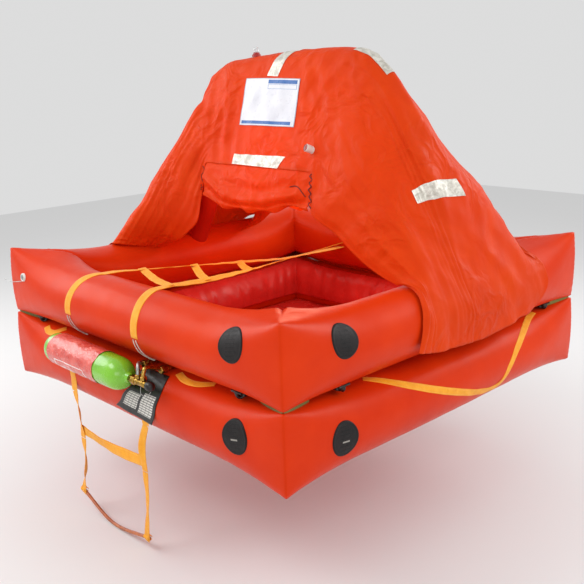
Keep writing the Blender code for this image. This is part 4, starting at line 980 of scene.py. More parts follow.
def fold_heights(table):
    """How far each point of the tent stands off its smooth shape."""
    rib, step = np.meshgrid(np.linspace(0.0, 1.0, RIBS), np.arange(STEPS_ALL), indexing="ij")
    side = np.where(step < SIDE_STEPS, 1.0 - step / SIDE_STEPS,
                    (step - SIDE_STEPS - ROOF_STEPS) / SIDE_STEPS)
    down = np.clip(side, 0.0, 1.0)          # 0 at the shoulder, 1 at the hem
    right = (step > SIDE_STEPS).astype(float)
    warp = 0.10 * wavy(table, 2.1, 3.0)
    long_folds = wavy(np.stack([rib * 19.0 + warp * 12.0, down * 1.1 + right * 7.0,
                                right * 3.0], -1))
    short_folds = wavy(np.stack([rib * 47.0 + warp * 22.0, down * 2.4 + right * 4.0,
                                 right * 3.0], -1))
    shoulder = hump(down, 0.12, 0.20) * (side > 0.0)
    on_panel = np.clip(down * 3.0, 0.0, 1.0) * (1.0 - 0.35 * down) * np.where(right > 0, 1.0, 0.72)
    share = np.clip(down * 5.0, 0.0, 1.0)
    heights = (0.0095 * long_folds * on_panel + 0.0040 * shoulder * short_folds
               + 0.0030 * short_folds * np.clip(down * 4, 0.1, 1.0)
               + 0.0014 * creased(table, 5.2, 1.0) + 0.0010 * creased(table, 13.0, 5.0)
               + creases(table, ROOF_CREASES, 3.0) * (1.0 - share)
               + creases(table, PANEL_CREASES, 8.0) * share * (1.0 - 0.3 * down) - 0.0040)
    heights *= 1.0 - 0.75 * hump(rib, 0.5, 0.05) * (side <= 0.0)
    x, y, z = table[..., 0], table[..., 1], table[..., 2] + AFLOAT
    sign = (np.clip((0.22 - np.abs(x + 0.04)) / 0.04, 0.0, 1.0) * (y < 0.02)
            * np.clip((z - 1.02) / 0.04, 0.0, 1.0))
    heights *= 1.0 - 0.8 * sign
    edge = np.clip(np.minimum(rib, 1.0 - rib) / 0.02, 0.3, 1.0)
    return heights * edge + CLOTH_THICK


HEIGHTS = fold_heights(TABLE - (0.0, 0.0, AFLOAT))
FOLDED = lift_off_tube(TABLE + grid_normals(TABLE) * HEIGHTS[..., None], 0.0055)
FOLD_NORMALS = grid_normals(FOLDED)
FOLDED[..., 2] -= AFLOAT


def canopy_at(rib, step, lift=0.0):
    """Points on the folded tent; rib and step run from 0 to 1."""
    a = np.clip(rib * (RIBS - 1), 0, RIBS - 1.001)
    b = np.clip(step * (STEPS_ALL - 1), 0, STEPS_ALL - 1.001)
    i, j = a.astype(int), b.astype(int)
    s, t = (a - i)[:, None], (b - j)[:, None]

    def taken(grid):
        return ((grid[i, j] * (1 - t) + grid[i, j + 1] * t) * (1 - s)
                + (grid[i + 1, j] * (1 - t) + grid[i + 1, j + 1] * t) * s)
    return taken(FOLDED) + taken(FOLD_NORMALS) * lift


canopy = laid_grid("canopy_tent", STEPS_ALL - 1, RIBS - 1, lambda u, v: canopy_at(v, u), (3.0, 1.6))
give_thickness(canopy, CLOTH_THICK, -1.0)
complete(canopy, CANOPY_CLOTH, "canopy_roof", "canopy_left_side", "canopy_right_side",
         slot="canopy_cloth", angle=180.0)

# %% [markdown]
# ## Flaps over the openings
# A cloth flap hangs in each opening from the roof's lower edge. Its upper edge is sewn on.
# Cloth rolled up and let go keeps swags between its corners and a thick, uneven hem.

# %% Flaps
FLAP_HEMS = {-1: (0.757, 0.722, 0.714, 0.722, 0.748, 0.760),
             1: (0.640, 0.650, 0.680, 0.710, 0.730, 0.740)}
FLAP_TOP = HINGE_Z + 0.004
FIRST_STEP, LAST_STEP = (seam / (STEPS_ALL - 1) for seam in ROOF_SEAMS)


def flap(name, facing, node, cloth):
    hinge = RIDGE_Y + facing * HINGE_OUT
    hem_line = smooth_line([(k / 5.0, low, 0.0) for k, low in enumerate(FLAP_HEMS[facing])], 61)

    def place(u, v):
        down, middle = 1.0 - v, 2 * u - 1
        x = SLIT_LEFT + 0.004 + (SLIT_RIGHT - SLIT_LEFT - 0.008) * u
        x = x + 0.010 * down * np.sin(2.0 * math.pi * u)
        z = FLAP_TOP - (FLAP_TOP - np.interp(u, hem_line[:, 0], hem_line[:, 1])) * down
        belly = 0.030 * np.sin(math.pi * np.clip(down * 0.75, 0, 1)) * (1 - middle ** 2)
        sway = 0.017 * np.sin(math.pi * 0.5 * np.clip(down, 0, 1))
        out = sway + belly - CLOTH_THICK * (down < 0.05)
        points = np.stack([x, hinge + facing * out, z - AFLOAT], -1)
        swag = np.sin(2 * math.pi * (down * 1.7 + 0.5 * middle ** 2 + 0.3 * wavy(points, 4.0, 7.0)))
        swell = (0.0095 * swag * np.clip(down * 1.6, 0, 1) * (1.0 - np.abs(middle) ** 6)
                 + creases(points, FLAP_CREASES, 5.0 + facing) * np.clip(down * 2.5, 0, 1)
                 + 0.011 * wavy(points * np.array([1, 1, 0.5]), 11.0, facing * 3.0) * down
                 + 0.0020 * creased(points, 17.0, 6.0) * np.clip(down * 3, 0, 1) - 0.004)
        points[:, 1] += facing * (swell + 0.007 * hump(down, 0.94, 0.045))
        points[:, 2] += 0.012 * wavy(points, 9.0, 2.0) * down * down
        points[:, 2] += 0.010 * hump(down, 1.0, 0.05) * np.sin(u * 23.0)
        sewn = canopy_at(np.full(len(u), 0.010 if facing < 0 else 0.990), FIRST_STEP
                         + (LAST_STEP - FIRST_STEP) * np.clip(u, 0.006, 0.994), -0.0021)
        start = np.stack([x, np.full(len(u), hinge), np.full(len(u), FLAP_TOP - AFLOAT)], -1)
        return points + (sewn - start) * hump(down, 0.0, 0.085)[:, None]
    piece = laid_grid(name, 150, 90, place, (0.66, 0.30))
    give_thickness(piece, CLOTH_THICK, 0.0)
    complete(piece, cloth, node, slot="canopy_cloth", angle=180.0, body=None)
    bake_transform(piece)


flap("entrance_curtain", -1, "entrance_flap", CANOPY_CLOTH)
flap("rear_curtain", 1, "rear_flap", REAR_CLOTH_PAINTED_GLOW)

# %% [markdown]
# ## Sign, bright tapes and lacing
# A glossy sign, left blank, is sewn on the front slope, and silver tapes that throw light back
# are sewn round it. They are thin sheets laid on the folded cloth, so they follow its swells.

# %% Sign and tapes


def laid_on_canopy(name, places, finish, size, *replaced, lift=0.0012, slot=None):
    """A thin sheet between four places (rib, step): lower left, lower right, upper right, left."""
    spots = np.array(places)

    def place(u, v):
        u, v = u[:, None], v[:, None]
        mix = ((spots[0] * (1 - u) + spots[1] * u) * (1 - v)
               + (spots[3] * (1 - u) + spots[2] * u) * v)
        return canopy_at(mix[:, 0], mix[:, 1], lift)
    piece = laid_grid(name, 40, 26, place, size)
    give_thickness(piece, 0.0007, 1.0)
    complete(piece, finish, *replaced, slot=slot)


laid_on_canopy("sign_sheet", [(0.175, 0.4270), (0.169, 0.5788), (0.355, 0.5788), (0.374, 0.4270)],
               SIGN_SHEET, (1.0, 1.0), "canopy_sign", lift=0.0018, slot="white_sign")
TAPES = {       # corners on the tent, length and width
    "front_tape": ([(0.004, 0.4322), (0.002, 0.5610), (0.051, 0.5751), (0.047, 0.4359)],
                   (0.31, 0.06)),
    "top_tape": ([(0.376, 0.4872), (0.370, 0.5165), (0.500, 0.5440), (0.500, 0.5130)],
                 (0.07, 0.13)),
    "shoulder_tape": ([(0.470, 0.6700), (0.470, 0.7160), (0.512, 0.7160), (0.512, 0.6700)],
                      (0.20, 0.06)),
    "side_tape": ([(0.302, 0.8242), (0.524, 0.8462), (0.519, 0.8278), (0.302, 0.8095)],
                  (0.36, 0.06)),
}
for name, (places, size) in TAPES.items():
    laid_on_canopy(name, places, SILVER_TAPE, size)

# %% [markdown]
# The flap's edge on the right is laced to the tent with dark thread, and loose threads show at
# the left. Each lace is a short round cord that wanders from side to side just off the cloth.

# %% Lacing
curtain = bpy.data.objects["entrance_curtain"]


def cord_piece(name, points, radius, finish, *replaced, sides=8, steps=40, slot=None, body="raft"):
    """A round cord along a smooth curve, closed at both ends."""
    line = smooth_line(points, steps + 1)
    run = unit(np.gradient(line, axis=0))
    across = unit(np.cross(run, np.array([0.31, 0.23, 0.92])))
    over = np.cross(run, across)

    def place(u, v):
        k = np.rint(v * steps).astype(int)
        angle = 2.0 * math.pi * u[:, None]
        return line[k] + (across[k] * np.cos(angle) + over[k] * np.sin(angle)) * radius
    piece = laid_grid(name, sides, steps, place)
    sew_shut(piece, radius * 0.02, sides + 1)
    return complete(piece, finish, *replaced, slot=slot, body=body)


def edge_place(side, height, out=0.005, shift=0.0):
    """A point just off the front slit's edge at a height above the tips."""
    step = np.linspace(0.2, 0.80, 1200)
    points = canopy_at(np.zeros_like(step) + 0.004, step)
    other_half = step >= 0.5 if side < 0 else step <= 0.5
    k = np.argmin(np.abs(points[:, 2] + AFLOAT - height) + 10.0 * other_half)
    return points[k] + np.array([shift, -out, 0.0])


def on_curtain(x, height):
    """A point just in front of the entrance's flap."""
    hit, place, _normal, _face = curtain.ray_cast(Vector((x, -2.0, height - AFLOAT)),
                                                  Vector((0, 1, 0)))
    return np.array(place) + np.array([0.0, -0.002, 0.0]) if hit else edge_place(1, height)


def lace(name, points, radius, steps):
    cord_piece(name, points, radius, DARK_THREAD, steps=steps, slot="black_fabric")


LACE_RIGHT = ((0.896, 0.006), (0.886, -0.006), (0.874, 0.007), (0.862, -0.007), (0.848, 0.005),
              (0.836, -0.009), (0.822, 0.006), (0.810, -0.004), (0.794, 0.008), (0.782, -0.006),
              (0.768, 0.004))
LACE_BRANCH = (0.190, 0.838), (0.214, 0.843), (0.240, 0.838), (0.262, 0.822), (0.278, 0.806)
LACE_LEFT = ((0.884, -0.006), (0.874, 0.006), (0.858, 0.004), (0.846, -0.009), (0.828, -0.004),
             (0.818, 0.005))
lace("lace_right", [edge_place(1, z, shift=x) for z, x in LACE_RIGHT], 0.0021, 90)
lace("lace_branch", [on_curtain(x, z) for x, z in LACE_BRANCH], 0.0017, 50)
lace("lace_left", [edge_place(-1, z, shift=x) for z, x in LACE_LEFT], 0.0016, 60)
for number, (height, shift) in enumerate(((0.800, -0.008), (0.792, 0.002), (0.782, -0.006))):
    spot = edge_place(-1, height, 0.0045, shift)
    lace("lace_knot_%d" % (number + 1), [spot - (0.007, 0, 0.001), spot, spot + (0.007, 0, 0.002)],
         0.0020, 8)

# %% [markdown]
# ## Webbing straps
# All straps of the raft are flat webbing. A strap is a long grid laid along its route, slightly
# crowned across, given its thickness afterwards. Slack webbing never hangs quite flat, so the
# routes carry a slow twist where nothing holds them.

# %% Strap helper


def strap(name, points, across, width, *replaced, finish=YELLOW_WEB, body="raft", twist=0.0,
          thickness=0.0022, slot="yellow_webbing"):
    """A flat strap: points on its under face and the direction of its width at each of them."""
    points = np.asarray(points, float)
    run = unit(np.gradient(points, axis=0))
    across = across - run * np.sum(across * run, axis=1, keepdims=True)
    across = unit(across)
    turn = np.radians(np.reshape(twist, (-1, 1)))
    across = across * np.cos(turn) + np.cross(run, across) * np.sin(turn)
    over = np.cross(run, across)
    length = running_length(points)
    last = len(points) - 1

    def place(u, v):
        k = np.rint(v * last).astype(int)
        crown = 0.0005 * (1.0 - (2.0 * u - 1.0) ** 2)
        wave = 0.0009 * np.sin(length[k] * 61.0 + 5.0 * u) * np.sin(math.pi * v)
        return (points[k] + across[k] * ((u - 0.5) * width)[:, None]
                + over[k] * (crown + wave)[:, None])
    piece = laid_grid(name, 8, last, place, (1.0, float(length[-1])))
    give_thickness(piece, thickness, 1.0)
    apply_change(piece, "BEVEL", width=0.0006, segments=1, limit_method="ANGLE",
                 angle_limit=math.radians(60.0))
    return complete(piece, finish, *replaced, slot=slot, body=body)


def facing_front(points, across):
    """The width's direction, turned so that the strap's upper face looks out of the front."""
    run = np.gradient(np.asarray(points, float), axis=0)
    side = np.cross(run[len(run) // 2], across)
    return np.asarray(across) if side[1] < 0 else -np.asarray(across)


def swell_and_fade(degrees, count, turns=1.0, power=1):
    """A twist that starts at nought and comes back to it."""
    return degrees * np.sin(np.linspace(0, turns * math.pi, count)) ** power


# %% [markdown]
# The inner ladder starts as two straps sewn over the front tube. They run aft, side by side, to
# one point on the rear tube, with three rungs sewn between them.

# %% Inner ladder
WEBBING = 0.042
INNER_ROUTES = (        # x at the tube's front, x on its top, slack's twist, points on the way aft
    (-0.350, -0.303, -9.8, ((-0.299, -0.468, 0.493), (-0.293, -0.023, 0.440),
                            (-0.292, 0.268, 0.408), (-0.300, 0.6330, 0.412))),
    (0.118, 0.066, 14.0, ((0.001, -0.483, 0.490), (-0.087, -0.152, 0.460), (-0.176, 0.178, 0.438),
                          (-0.292, 0.6330, 0.398))),
)
inner_runs, inner_parts = [], []
for number, (start, end, twist, route) in enumerate(INNER_ROUTES):
    turns = np.radians(np.linspace(-9.0, 99.0, 30))
    share = np.linspace(0.0, 1.0, 30) ** 2
    over_tube = skin_at(FRONT, start + (end - start) * share, turns, UPPER, 0.0010)
    leave = over_tube[-1] + np.array([0.0, 0.016, 0.0035])
    aft = smooth_line([leave] + [(x, y, z - AFLOAT) for x, y, z in route], np.linspace(0.03, 1, 90))
    inner_runs.append(aft)
    width_way = np.tile(np.array([-1.0, 0.0, 0.0]), (120, 1))
    width_way[30:, 1:] = np.array([-0.1, -0.25]) * np.linspace(0.0, 1.0, 90)[:, None]
    slack = np.concatenate([np.zeros(30), swell_and_fade(twist, 90, 2.6)])
    inner_parts.append(strap("inner_strap_%d" % number, np.concatenate([over_tube, aft]), width_way,
                             WEBBING, twist=slack))


def at_y(line, y):
    return line[np.argmin(np.abs(line[:, 1] - y))]


for number, (left_y, right_y) in enumerate(((-0.56, -0.68), (-0.29, -0.47), (-0.04, -0.17))):
    left = at_y(inner_runs[0], left_y) + np.array([-0.014, 0, 0.003])
    right = at_y(inner_runs[1], right_y) + np.array([0.014, 0, 0.003])
    points = smooth_line([left, (left + right) / 2 + np.array([0, 0, -0.011]), right], 24)
    inner_parts.append(strap("inner_rung_%d" % number, points, (0, 1, 0.1), 0.034,
                             twist=swell_and_fade(6.0, 24)))
joined("inner_ladder_webbing", *inner_parts, replaced=["inner_ladder"])

# %% [markdown]
# The boarding ladder hangs from two tabs on the lower front tube. Its straps, a webbing rung
# and the lowest bar swing as two links, so each link is a piece of its own. Bare room is left
# on each side of the fold where the links meet.

# %% Boarding ladder
LADDER_Y = -0.8878
STRAP_Y = LADDER_Y - 0.0011
PIVOT_Z, STEP_Z = 0.048 - AFLOAT, -0.150 - AFLOAT
FOLD_ROOM = 0.0014      # bare room on each side of the fold under the rung
LADDER_SIDES = (        # x at the tab, side, drift down to the fold, twists, foot's x and z
    (-0.362, "left", 0.030, 38.0, 52.0, -0.378, -0.416 - AFLOAT),
    (0.143, "right", -0.030, -16.0, 20.0, 0.084, -0.452 - AFLOAT))
upper_parts = []
for x, word, drift, upper_twist, lower_twist, foot_x, foot_z in LADDER_SIDES:
    tab = skin_at(FRONT, np.full(16, x), np.radians(np.linspace(26.0, -9.0, 16)), LOWER, 0.0006)
    hang = np.tile(tab[-1], (10, 1))
    hang[:, 2] = np.linspace(tab[-1][2] - 0.004, PIVOT_Z, 10)
    points = np.concatenate([tab, hang])
    strap("ladder_tab_web_" + word, points, facing_front(points, (1, 0, 0)), WEBBING,
          "ladder_tab_" + word, thickness=0.0012)
    points = smooth_line([(x, STRAP_Y, PIVOT_Z),
                          (x + drift - 0.004, LADDER_Y - 0.004, -0.05 - AFLOAT),
                          (x + drift, STRAP_Y, STEP_Z + FOLD_ROOM)], 44)
    upper_parts.append(strap("upper_strap_" + word, points, facing_front(points, (1, 0, 0)),
                             WEBBING * 0.82, body="ladder_upper",
                             twist=swell_and_fade(upper_twist, 44, power=2)))
    points = smooth_line([(x + drift, STRAP_Y, STEP_Z - FOLD_ROOM),
                          (x + drift + 0.003, LADDER_Y - 0.004, -0.27 - AFLOAT),
                          (foot_x, LADDER_Y - 0.001, foot_z)], 52)
    strap("lower_strap_" + word, points, facing_front(points, (1, 0, 0)), WEBBING * 0.80,
          "ladder_lower_strap_" + word, body="ladder_step",
          twist=swell_and_fade(lower_twist, 52, power=2))
    loop = [(foot_x, LADDER_Y + 0.006 + 0.011 * math.cos(a), foot_z + 0.014 + 0.011 * math.sin(a))
            for a in np.linspace(0, 5.6, 9)]
    strap("step_loop_" + word, smooth_line(loop, 30), (1, 0, 0), WEBBING * 0.72,
          body="ladder_step", thickness=0.0018)
left = np.array([-0.342, LADDER_Y, -0.114 - AFLOAT])
right = np.array([0.123, LADDER_Y, -0.110 - AFLOAT])
middle = left * 0.55 + right * 0.45 + np.array([0, -0.003, -0.012])
points = smooth_line([left, middle, right], 60)
upper_parts.append(strap("rung", points, facing_front(points, (0, 0, 1)), 0.041,
                         body="ladder_upper", thickness=0.0034,
                         twist=swell_and_fade(14.0, 60, 2.0)))
joined("boarding_ladder_webbing", *upper_parts, replaced=["ladder_upper_webbing"])
BAR_Y = STRAP_Y + 0.0066        # the bar hangs just behind the straps
left = np.array([-0.390, BAR_Y, -0.404 - AFLOAT])
right = np.array([0.096, BAR_Y, -0.440 - AFLOAT])
sag = left * 0.55 + right * 0.45 + np.array([0, 0, -0.058])
cord_piece("boarding_step_bar", [left, sag, right], 0.0068, STEP_PLASTIC, "ladder_step", sides=16,
           steps=48, slot="orange_plastic", body="ladder_step")

# %% [markdown]
# Lifelines are slack webs round the hull for people in the water. They hang in bows from
# knotted loops that are fixed in the crevice between the two tubes. A route is a list of
# distances along its side and turns on the lower tube, in degrees.

# %% Lifelines
PLAIN_BOW = ((-0.50, 80), (-0.42, 62), (-0.22, 18), (0.0, -6), (0.22, 18), (0.42, 62), (0.50, 80))
LIFELINES = {
    "lifeline_right": (RIGHT, ((-0.402, 86), (-0.375, 74), (-0.291, 49), (-0.163, 23),
                               (0.006, -4), (0.155, -25), (0.262, -34), (0.310, -24), (0.345, 0),
                               (0.42, 27), (0.585, 66), (0.640, 76))),
    "lifeline_front_right": (FRONT, ((0.242, 76), (0.300, 68), (0.374, 70), (0.430, 84))),
    "lifeline_front_left": (FRONT, ((-0.655, 62), (-0.626, 54), (-0.589, 57), (-0.555, 78))),
    "lifeline_rear": (REAR, PLAIN_BOW),
    "lifeline_left": (LEFT, PLAIN_BOW),
}
TURN_SCALE = 470.0      # degrees of turn that count as a metre in the route's smooth curve
for name, (side, route) in LIFELINES.items():
    line = smooth_line([(d, t / TURN_SCALE, 0.0) for d, t in route], 24 * len(route))
    turns = np.radians(line[:, 1] * TURN_SCALE)
    points = skin_at(side, line[:, 0], turns, LOWER, 0.0010)
    above = skin_at(side, line[:, 0], turns, LOWER, 0.0110) - points
    strap(name + "_web", points, np.cross(above, np.gradient(points, axis=0)), 0.028, name)

# %% [markdown]
# A knotted fitting is a black web tab with a doubled loop of cord on it and a buckle bar. It is
# modelled once, on the front side, and copied to its other places, each copy with its own mesh.

# %% Knotted fittings
FITTINGS = {"front": (-0.699, 0.613), "right": (-0.562, 0.698), "rear": (-0.62, 0.62),
            "left": (-0.62, 0.62)}
KNOT_OUT, KNOT_Z = 0.820, 0.280 - AFLOAT
LOOPS = (((-0.010, -KNOT_OUT, KNOT_Z + 0.002), 0.0115, 0.0058, (0.0, 1.35, 0.2)),
         ((0.006, -KNOT_OUT - 0.003, KNOT_Z - 0.002), 0.0125, 0.0055, (0.3, 1.75, -0.2)),
         ((0.0, -KNOT_OUT + 0.006, KNOT_Z), 0.0100, 0.0060, (1.3, 0.3, 0.0)))
parts = [added(bpy.ops.mesh.primitive_torus_add, major_radius=radius, minor_radius=thick,
               major_segments=20, minor_segments=8, location=spot, rotation=turn_by)
         for spot, radius, thick, turn_by in LOOPS]
parts.append(added(bpy.ops.mesh.primitive_cube_add, size=1.0, scale=(0.046, 0.040, 0.014),
                   location=(0.0, -KNOT_OUT + 0.018, KNOT_Z - 0.003)))
apply_change(parts[-1], "BEVEL", width=0.004, segments=3)
parts.append(added(bpy.ops.mesh.primitive_cylinder_add, vertices=16, radius=0.0042, depth=0.052,
                   location=(0.0, -KNOT_OUT - 0.014, KNOT_Z + 0.006),
                   rotation=(0.0, math.pi / 2, 0.0)))
apply_change(parts[-1], "BEVEL", width=0.0012, segments=2)
model_knot = joined("knotted_fitting", *parts)
for side, (word, distances) in enumerate(FITTINGS.items()):
    for number, distance in enumerate(distances):
        only(model_knot)
        bpy.ops.object.duplicate()
        copy = bpy.context.object
        place = "%s_%d" % (word, number + 1)
        copy.name = "knot_" + place
        turn = Matrix.Rotation(side * math.pi / 2, 4, "Z")
        copy.data.transform(turn @ Matrix.Translation((distance, 0.0, 0.0)))
        complete(copy, BLACK_PLASTIC, "lifeline_fitting_" + place, slot="black_fabric", angle=40.0)
only(model_knot)
bpy.ops.object.delete()

# %% [markdown]
# ## Cockpit
# The lower tube's inner wall is lined with loose glossy sheet that hangs in upright wrinkles.
# The floor is an air mattress: quilted pads between its seams.

# %% Lining and floor
LINER_TURNS = (112.0, 194.0)
CREASE_SPACING = 66.0
FLOOR_HALF, FLOOR_TOP = 0.660, 0.0615 - AFLOAT
PAD = 0.165


def lay_lining(u, v):
    side, along = round_the_ring(u)
    turn = np.radians(LINER_TURNS[0] + (LINER_TURNS[1] - LINER_TURNS[0]) * v)
    points = skin(side, along, turn, LOWER)
    free = 1.0 - np.abs(2 * v - 1) ** 4
    wave = wavy(points * np.array([1.0, 1.0, 0.35]), 6.0, 2.0)
    fold = np.sin(along * CREASE_SPACING * TUBE_LINE + 5.0 * wave) * free
    lift = 0.0060 + 0.0030 * fold + 0.0040 * wavy(points, 17.0, 8.0) * free
    points = skin(side, along, turn, LOWER, np.maximum(lift, 0.0018))
    mitre = np.abs(along) == 1.0
    reach = np.abs(points[mitre, :2]).mean(axis=1, keepdims=True)
    points[mitre, :2] = np.sign(points[mitre, :2]) * reach
    return points


lining = laid_grid("cockpit_lining", 480, 26, lay_lining, (4.8, 0.18))
sew_shut(lining, 0.0006)
give_thickness(lining, 0.0012, 0.0)
complete(lining, LINING_SKIN_PAINTED_LIGHT, "inner_liner", slot="red_fabric", angle=180.0)


def lay_floor(u, v):
    x, y = (2.0 * u - 1.0) * FLOOR_HALF, (2.0 * v - 1.0) * FLOOR_HALF
    swell = np.abs(np.sin(math.pi * x / PAD)) ** 0.5 * np.abs(np.sin(math.pi * y / PAD)) ** 0.5
    points = np.stack([x, y, FLOOR_TOP - 0.008 + 0.008 * swell], -1)
    points[:, 2] -= 0.0014 * np.clip(creased(points, 26.0, 3.0), 0.0, 1.0)
    return points


mattress = laid_grid("floor_mattress", 128, 128, lay_floor, (1.3, 1.3))
give_thickness(mattress, 0.0125, -1.0)
complete(mattress, LINING_SKIN_PAINTED_LIGHT, "raft_floor", slot="red_fabric", angle=180.0)

# %% [markdown]
# The arch is one more tube. It bends over the cockpit and carries the tent. Its feet stand in
# collars on the upper ring.

# %% Arch
ARCH_LINE = ((-0.722, 0.460), (-0.652, 0.590), (-0.604, 0.680), (-0.586, 0.820), (-0.572, 0.950),
             (-0.548, 1.050), (-0.508, 1.124), (-0.460, 1.190), (-0.400, 1.238), (-0.33, 1.262),
             (-0.20, 1.276), (0.0, 1.284), (0.16, 1.291), (0.33, 1.290), (0.405, 1.270),
             (0.470, 1.220), (0.533, 1.143), (0.590, 1.030), (0.635, 0.900), (0.672, 0.720),
             (0.695, 0.580), (0.722, 0.460))
arch = cord_piece("arch_tube", [(x, RIDGE_Y, z - AFLOAT) for x, z in ARCH_LINE], 0.0478,
                  ARCH_SKIN_PAINTED_SHADE, "canopy_arch", sides=48, steps=190, slot="tube_fabric")
sink(arch, 0.0009 * creased(corners_of(arch), 22.0, 2.0) + 0.0012)
for foot, word in ((ARCH_LINE[0], "left"), (ARCH_LINE[-1], "right")):
    collar = added(bpy.ops.mesh.primitive_torus_add, major_radius=0.052, minor_radius=0.006,
                   major_segments=48, minor_segments=10, location=(foot[0], RIDGE_Y, 0.4655))
    collar.name = "arch_collar_" + word
    complete(collar, ARCH_SKIN_PAINTED_SHADE, slot="tube_fabric")

# %% [markdown]
# ## Light, rain collector and gas set
# Small moulded and machined parts are turned: a profile of (distance, radius) pairs is spun
# round an axis. The gas bottle feeds both tubes through two short pipes with brass nuts.

# %% Turned pieces


def turned_piece(name, profile, base, axis, finish, *replaced, sides=40, slot=None, angle=35.0):
    """A profile of (distance, radius) pairs spun round an axis, closed at both ends."""
    axis = unit(np.asarray(axis, float))
    hint = np.array([0.0, 0.0, 1.0]) if abs(axis[2]) < 0.9 else np.array([1.0, 0.0, 0.0])
    across = unit(np.cross(axis, hint))
    over = np.cross(axis, across)
    rings = np.array([(profile[0][0], 0.0)] + list(profile) + [(profile[-1][0], 0.0)])
    last = len(rings) - 1

    def place(u, v):
        k = np.rint(v * last).astype(int)
        turn = 2.0 * math.pi * u[:, None]
        spin = across * np.cos(turn) + over * np.sin(turn)
        return np.asarray(base, float) + axis * rings[k, :1] + spin * rings[k, 1:]
    piece = laid_grid(name, sides, last, place, (2 * math.pi * rings[:, 1].max(),
                                                 float(rings[-1, 0] - rings[0, 0])))
    sew_shut(piece)
    apply_change(piece, "BEVEL", width=0.0007, segments=2, limit_method="ANGLE",
                 angle_limit=math.radians(40.0))
    return complete(piece, finish, *replaced, slot=slot, angle=angle)


def fine_profile(points, count):
    """The same profile with a rounded course between its points."""
    return [(d, r) for d, r, _zero in smooth_line([(d, r, 0.0) for d, r in points], count)]


LIGHT_X = -0.210
light_place = (LIGHT_X, RIDGE_Y, ridge_height(LIGHT_X) - AFLOAT)
turned_piece("light_foot", [(0.002, 0.020), (0.010, 0.019), (0.014, 0.014), (0.020, 0.013)],
             light_place, (0, 0, 1), RED_PLASTIC, "light_base", slot="red_plastic")
turned_piece("light_lens", fine_profile([(0.0203, 0.0120), (0.034, 0.0120), (0.040, 0.009),
                                         (0.043, 0.003)], 12),
             light_place, (0, 0, 1), CLEAR_PLASTIC, "light_dome", slot="clear_plastic")

COLLECTOR_X, COLLECTOR_OUT = 0.280, 0.160
share_front = share_on_roof((0.0, RIDGE_Y - COLLECTOR_OUT, 0.9799), COLLECTOR_X)
below, spot, above = roof_curve(COLLECTOR_X, share_front + np.array([-0.002, 0.0, 0.002]))
slope = unit(np.array([0.0, -abs((above - below)[2]), abs((above - below)[1])]))
collector = (spot - np.array([0.0, 0.0, AFLOAT]), np.array([-0.25, slope[1], slope[2]]))
turned_piece("collector_cup", [(0.0045, 0.0135), (0.006, 0.0150), (0.014, 0.0150), (0.0145, 0.0140),
                               (0.018, 0.0140), (0.0185, 0.0150), (0.040, 0.0150), (0.042, 0.0135),
                               (0.042, 0.0100), (0.022, 0.0095)],
             *collector, WHITE_PLASTIC, "rain_collector", slot="white_plastic")
turned_piece("collector_ring", [(0.0390, 0.0130), (0.0428, 0.0136), (0.0432, 0.0105),
                                (0.0400, 0.0102)], *collector, RED_PLASTIC, slot="red_plastic")
turned_piece("collector_flange", [(-0.002, 0.026), (0.0030, 0.026), (0.0046, 0.0145)], *collector,
             CANOPY_CLOTH, slot="canopy_cloth")

# %% [markdown]
# The gas bottle is a round metal flask, so it is turned too, with a rounded shoulder at each
# end. A thin film is wrapped round it. The film could be turned as well, but it would look
# stiff, so it is a grid laid just off the bottle with creases pressed into it.

# %% Gas bottle and sleeve
R = 0.0620
BOTTLE_LEFT, BOTTLE_RIGHT = -0.438, 0.107
BOTTLE_Y, BOTTLE_Z = -0.9215, 0.2350 - AFLOAT
LONG = BOTTLE_RIGHT - BOTTLE_LEFT
bottle = fine_profile([(0.0, R * 0.42), (0.010, R * 0.72), (0.030, R * 0.93), (0.060, R),
                       (0.20, R), (0.34, R), (LONG - 0.075, R), (LONG - 0.045, R * 0.94),
                       (LONG - 0.020, R * 0.74), (LONG - 0.005, R * 0.44), (LONG, 0.019)], 64)
turned_piece("gas_bottle", bottle + [(LONG + 0.0180, 0.018)], (BOTTLE_LEFT, BOTTLE_Y, BOTTLE_Z),
             (1, 0, 0), GREEN_PAINT, "gas_cylinder", sides=64, slot="green_paint", angle=50)
SLEEVE_LEFT, SLEEVE_LONG = BOTTLE_LEFT + 0.065, 0.335


def lay_sleeve(u, v):
    angle = 2.0 * math.pi * u

    def ring(radius):
        return np.stack([SLEEVE_LEFT + SLEEVE_LONG * v, BOTTLE_Y + np.cos(angle) * radius,
                         BOTTLE_Z + np.sin(angle) * radius], -1)
    points = ring(R)
    loose = np.clip(wavy(points, 22.0, 1.0) * 1.5, -1.0, 1.0)
    ridge = np.clip(creased(points * np.array([0.6, 1.0, 1.0]), 30.0, 4.0), -0.5, 1.0)
    points = ring(R + 0.0016 + 0.0009 * loose + 0.0012 * ridge)
    points[:, 0] += 0.006 * wavy(points, 20.0, 9.0) * (np.abs(v - 0.5) > 0.49)
    return points


sleeve = laid_grid("bottle_sleeve", 140, 90, lay_sleeve)
sew_shut(sleeve, 0.00002)
give_thickness(sleeve, 0.0006, 1.0)
complete(sleeve, SLEEVE_FILM, "cylinder_sleeve", slot="sleeve_film", angle=180.0)

# %% [markdown]
# The valve sits on the bottle's neck: a nut, a round stem and a cap. Two bent pipes lead from
# it to the tubes. A pipe is made like a thick cord, and a nut is a turned piece with only six
# sides, so its flats come by themselves.

# %% Valve and gas pipes
VALVE = np.array([BOTTLE_RIGHT + 0.0183, BOTTLE_Y, BOTTLE_Z])


def brass_part(name, profile, base, axis, sides=6):
    return turned_piece(name, profile, base, axis, BRASS, sides=sides, slot="valve_brass")


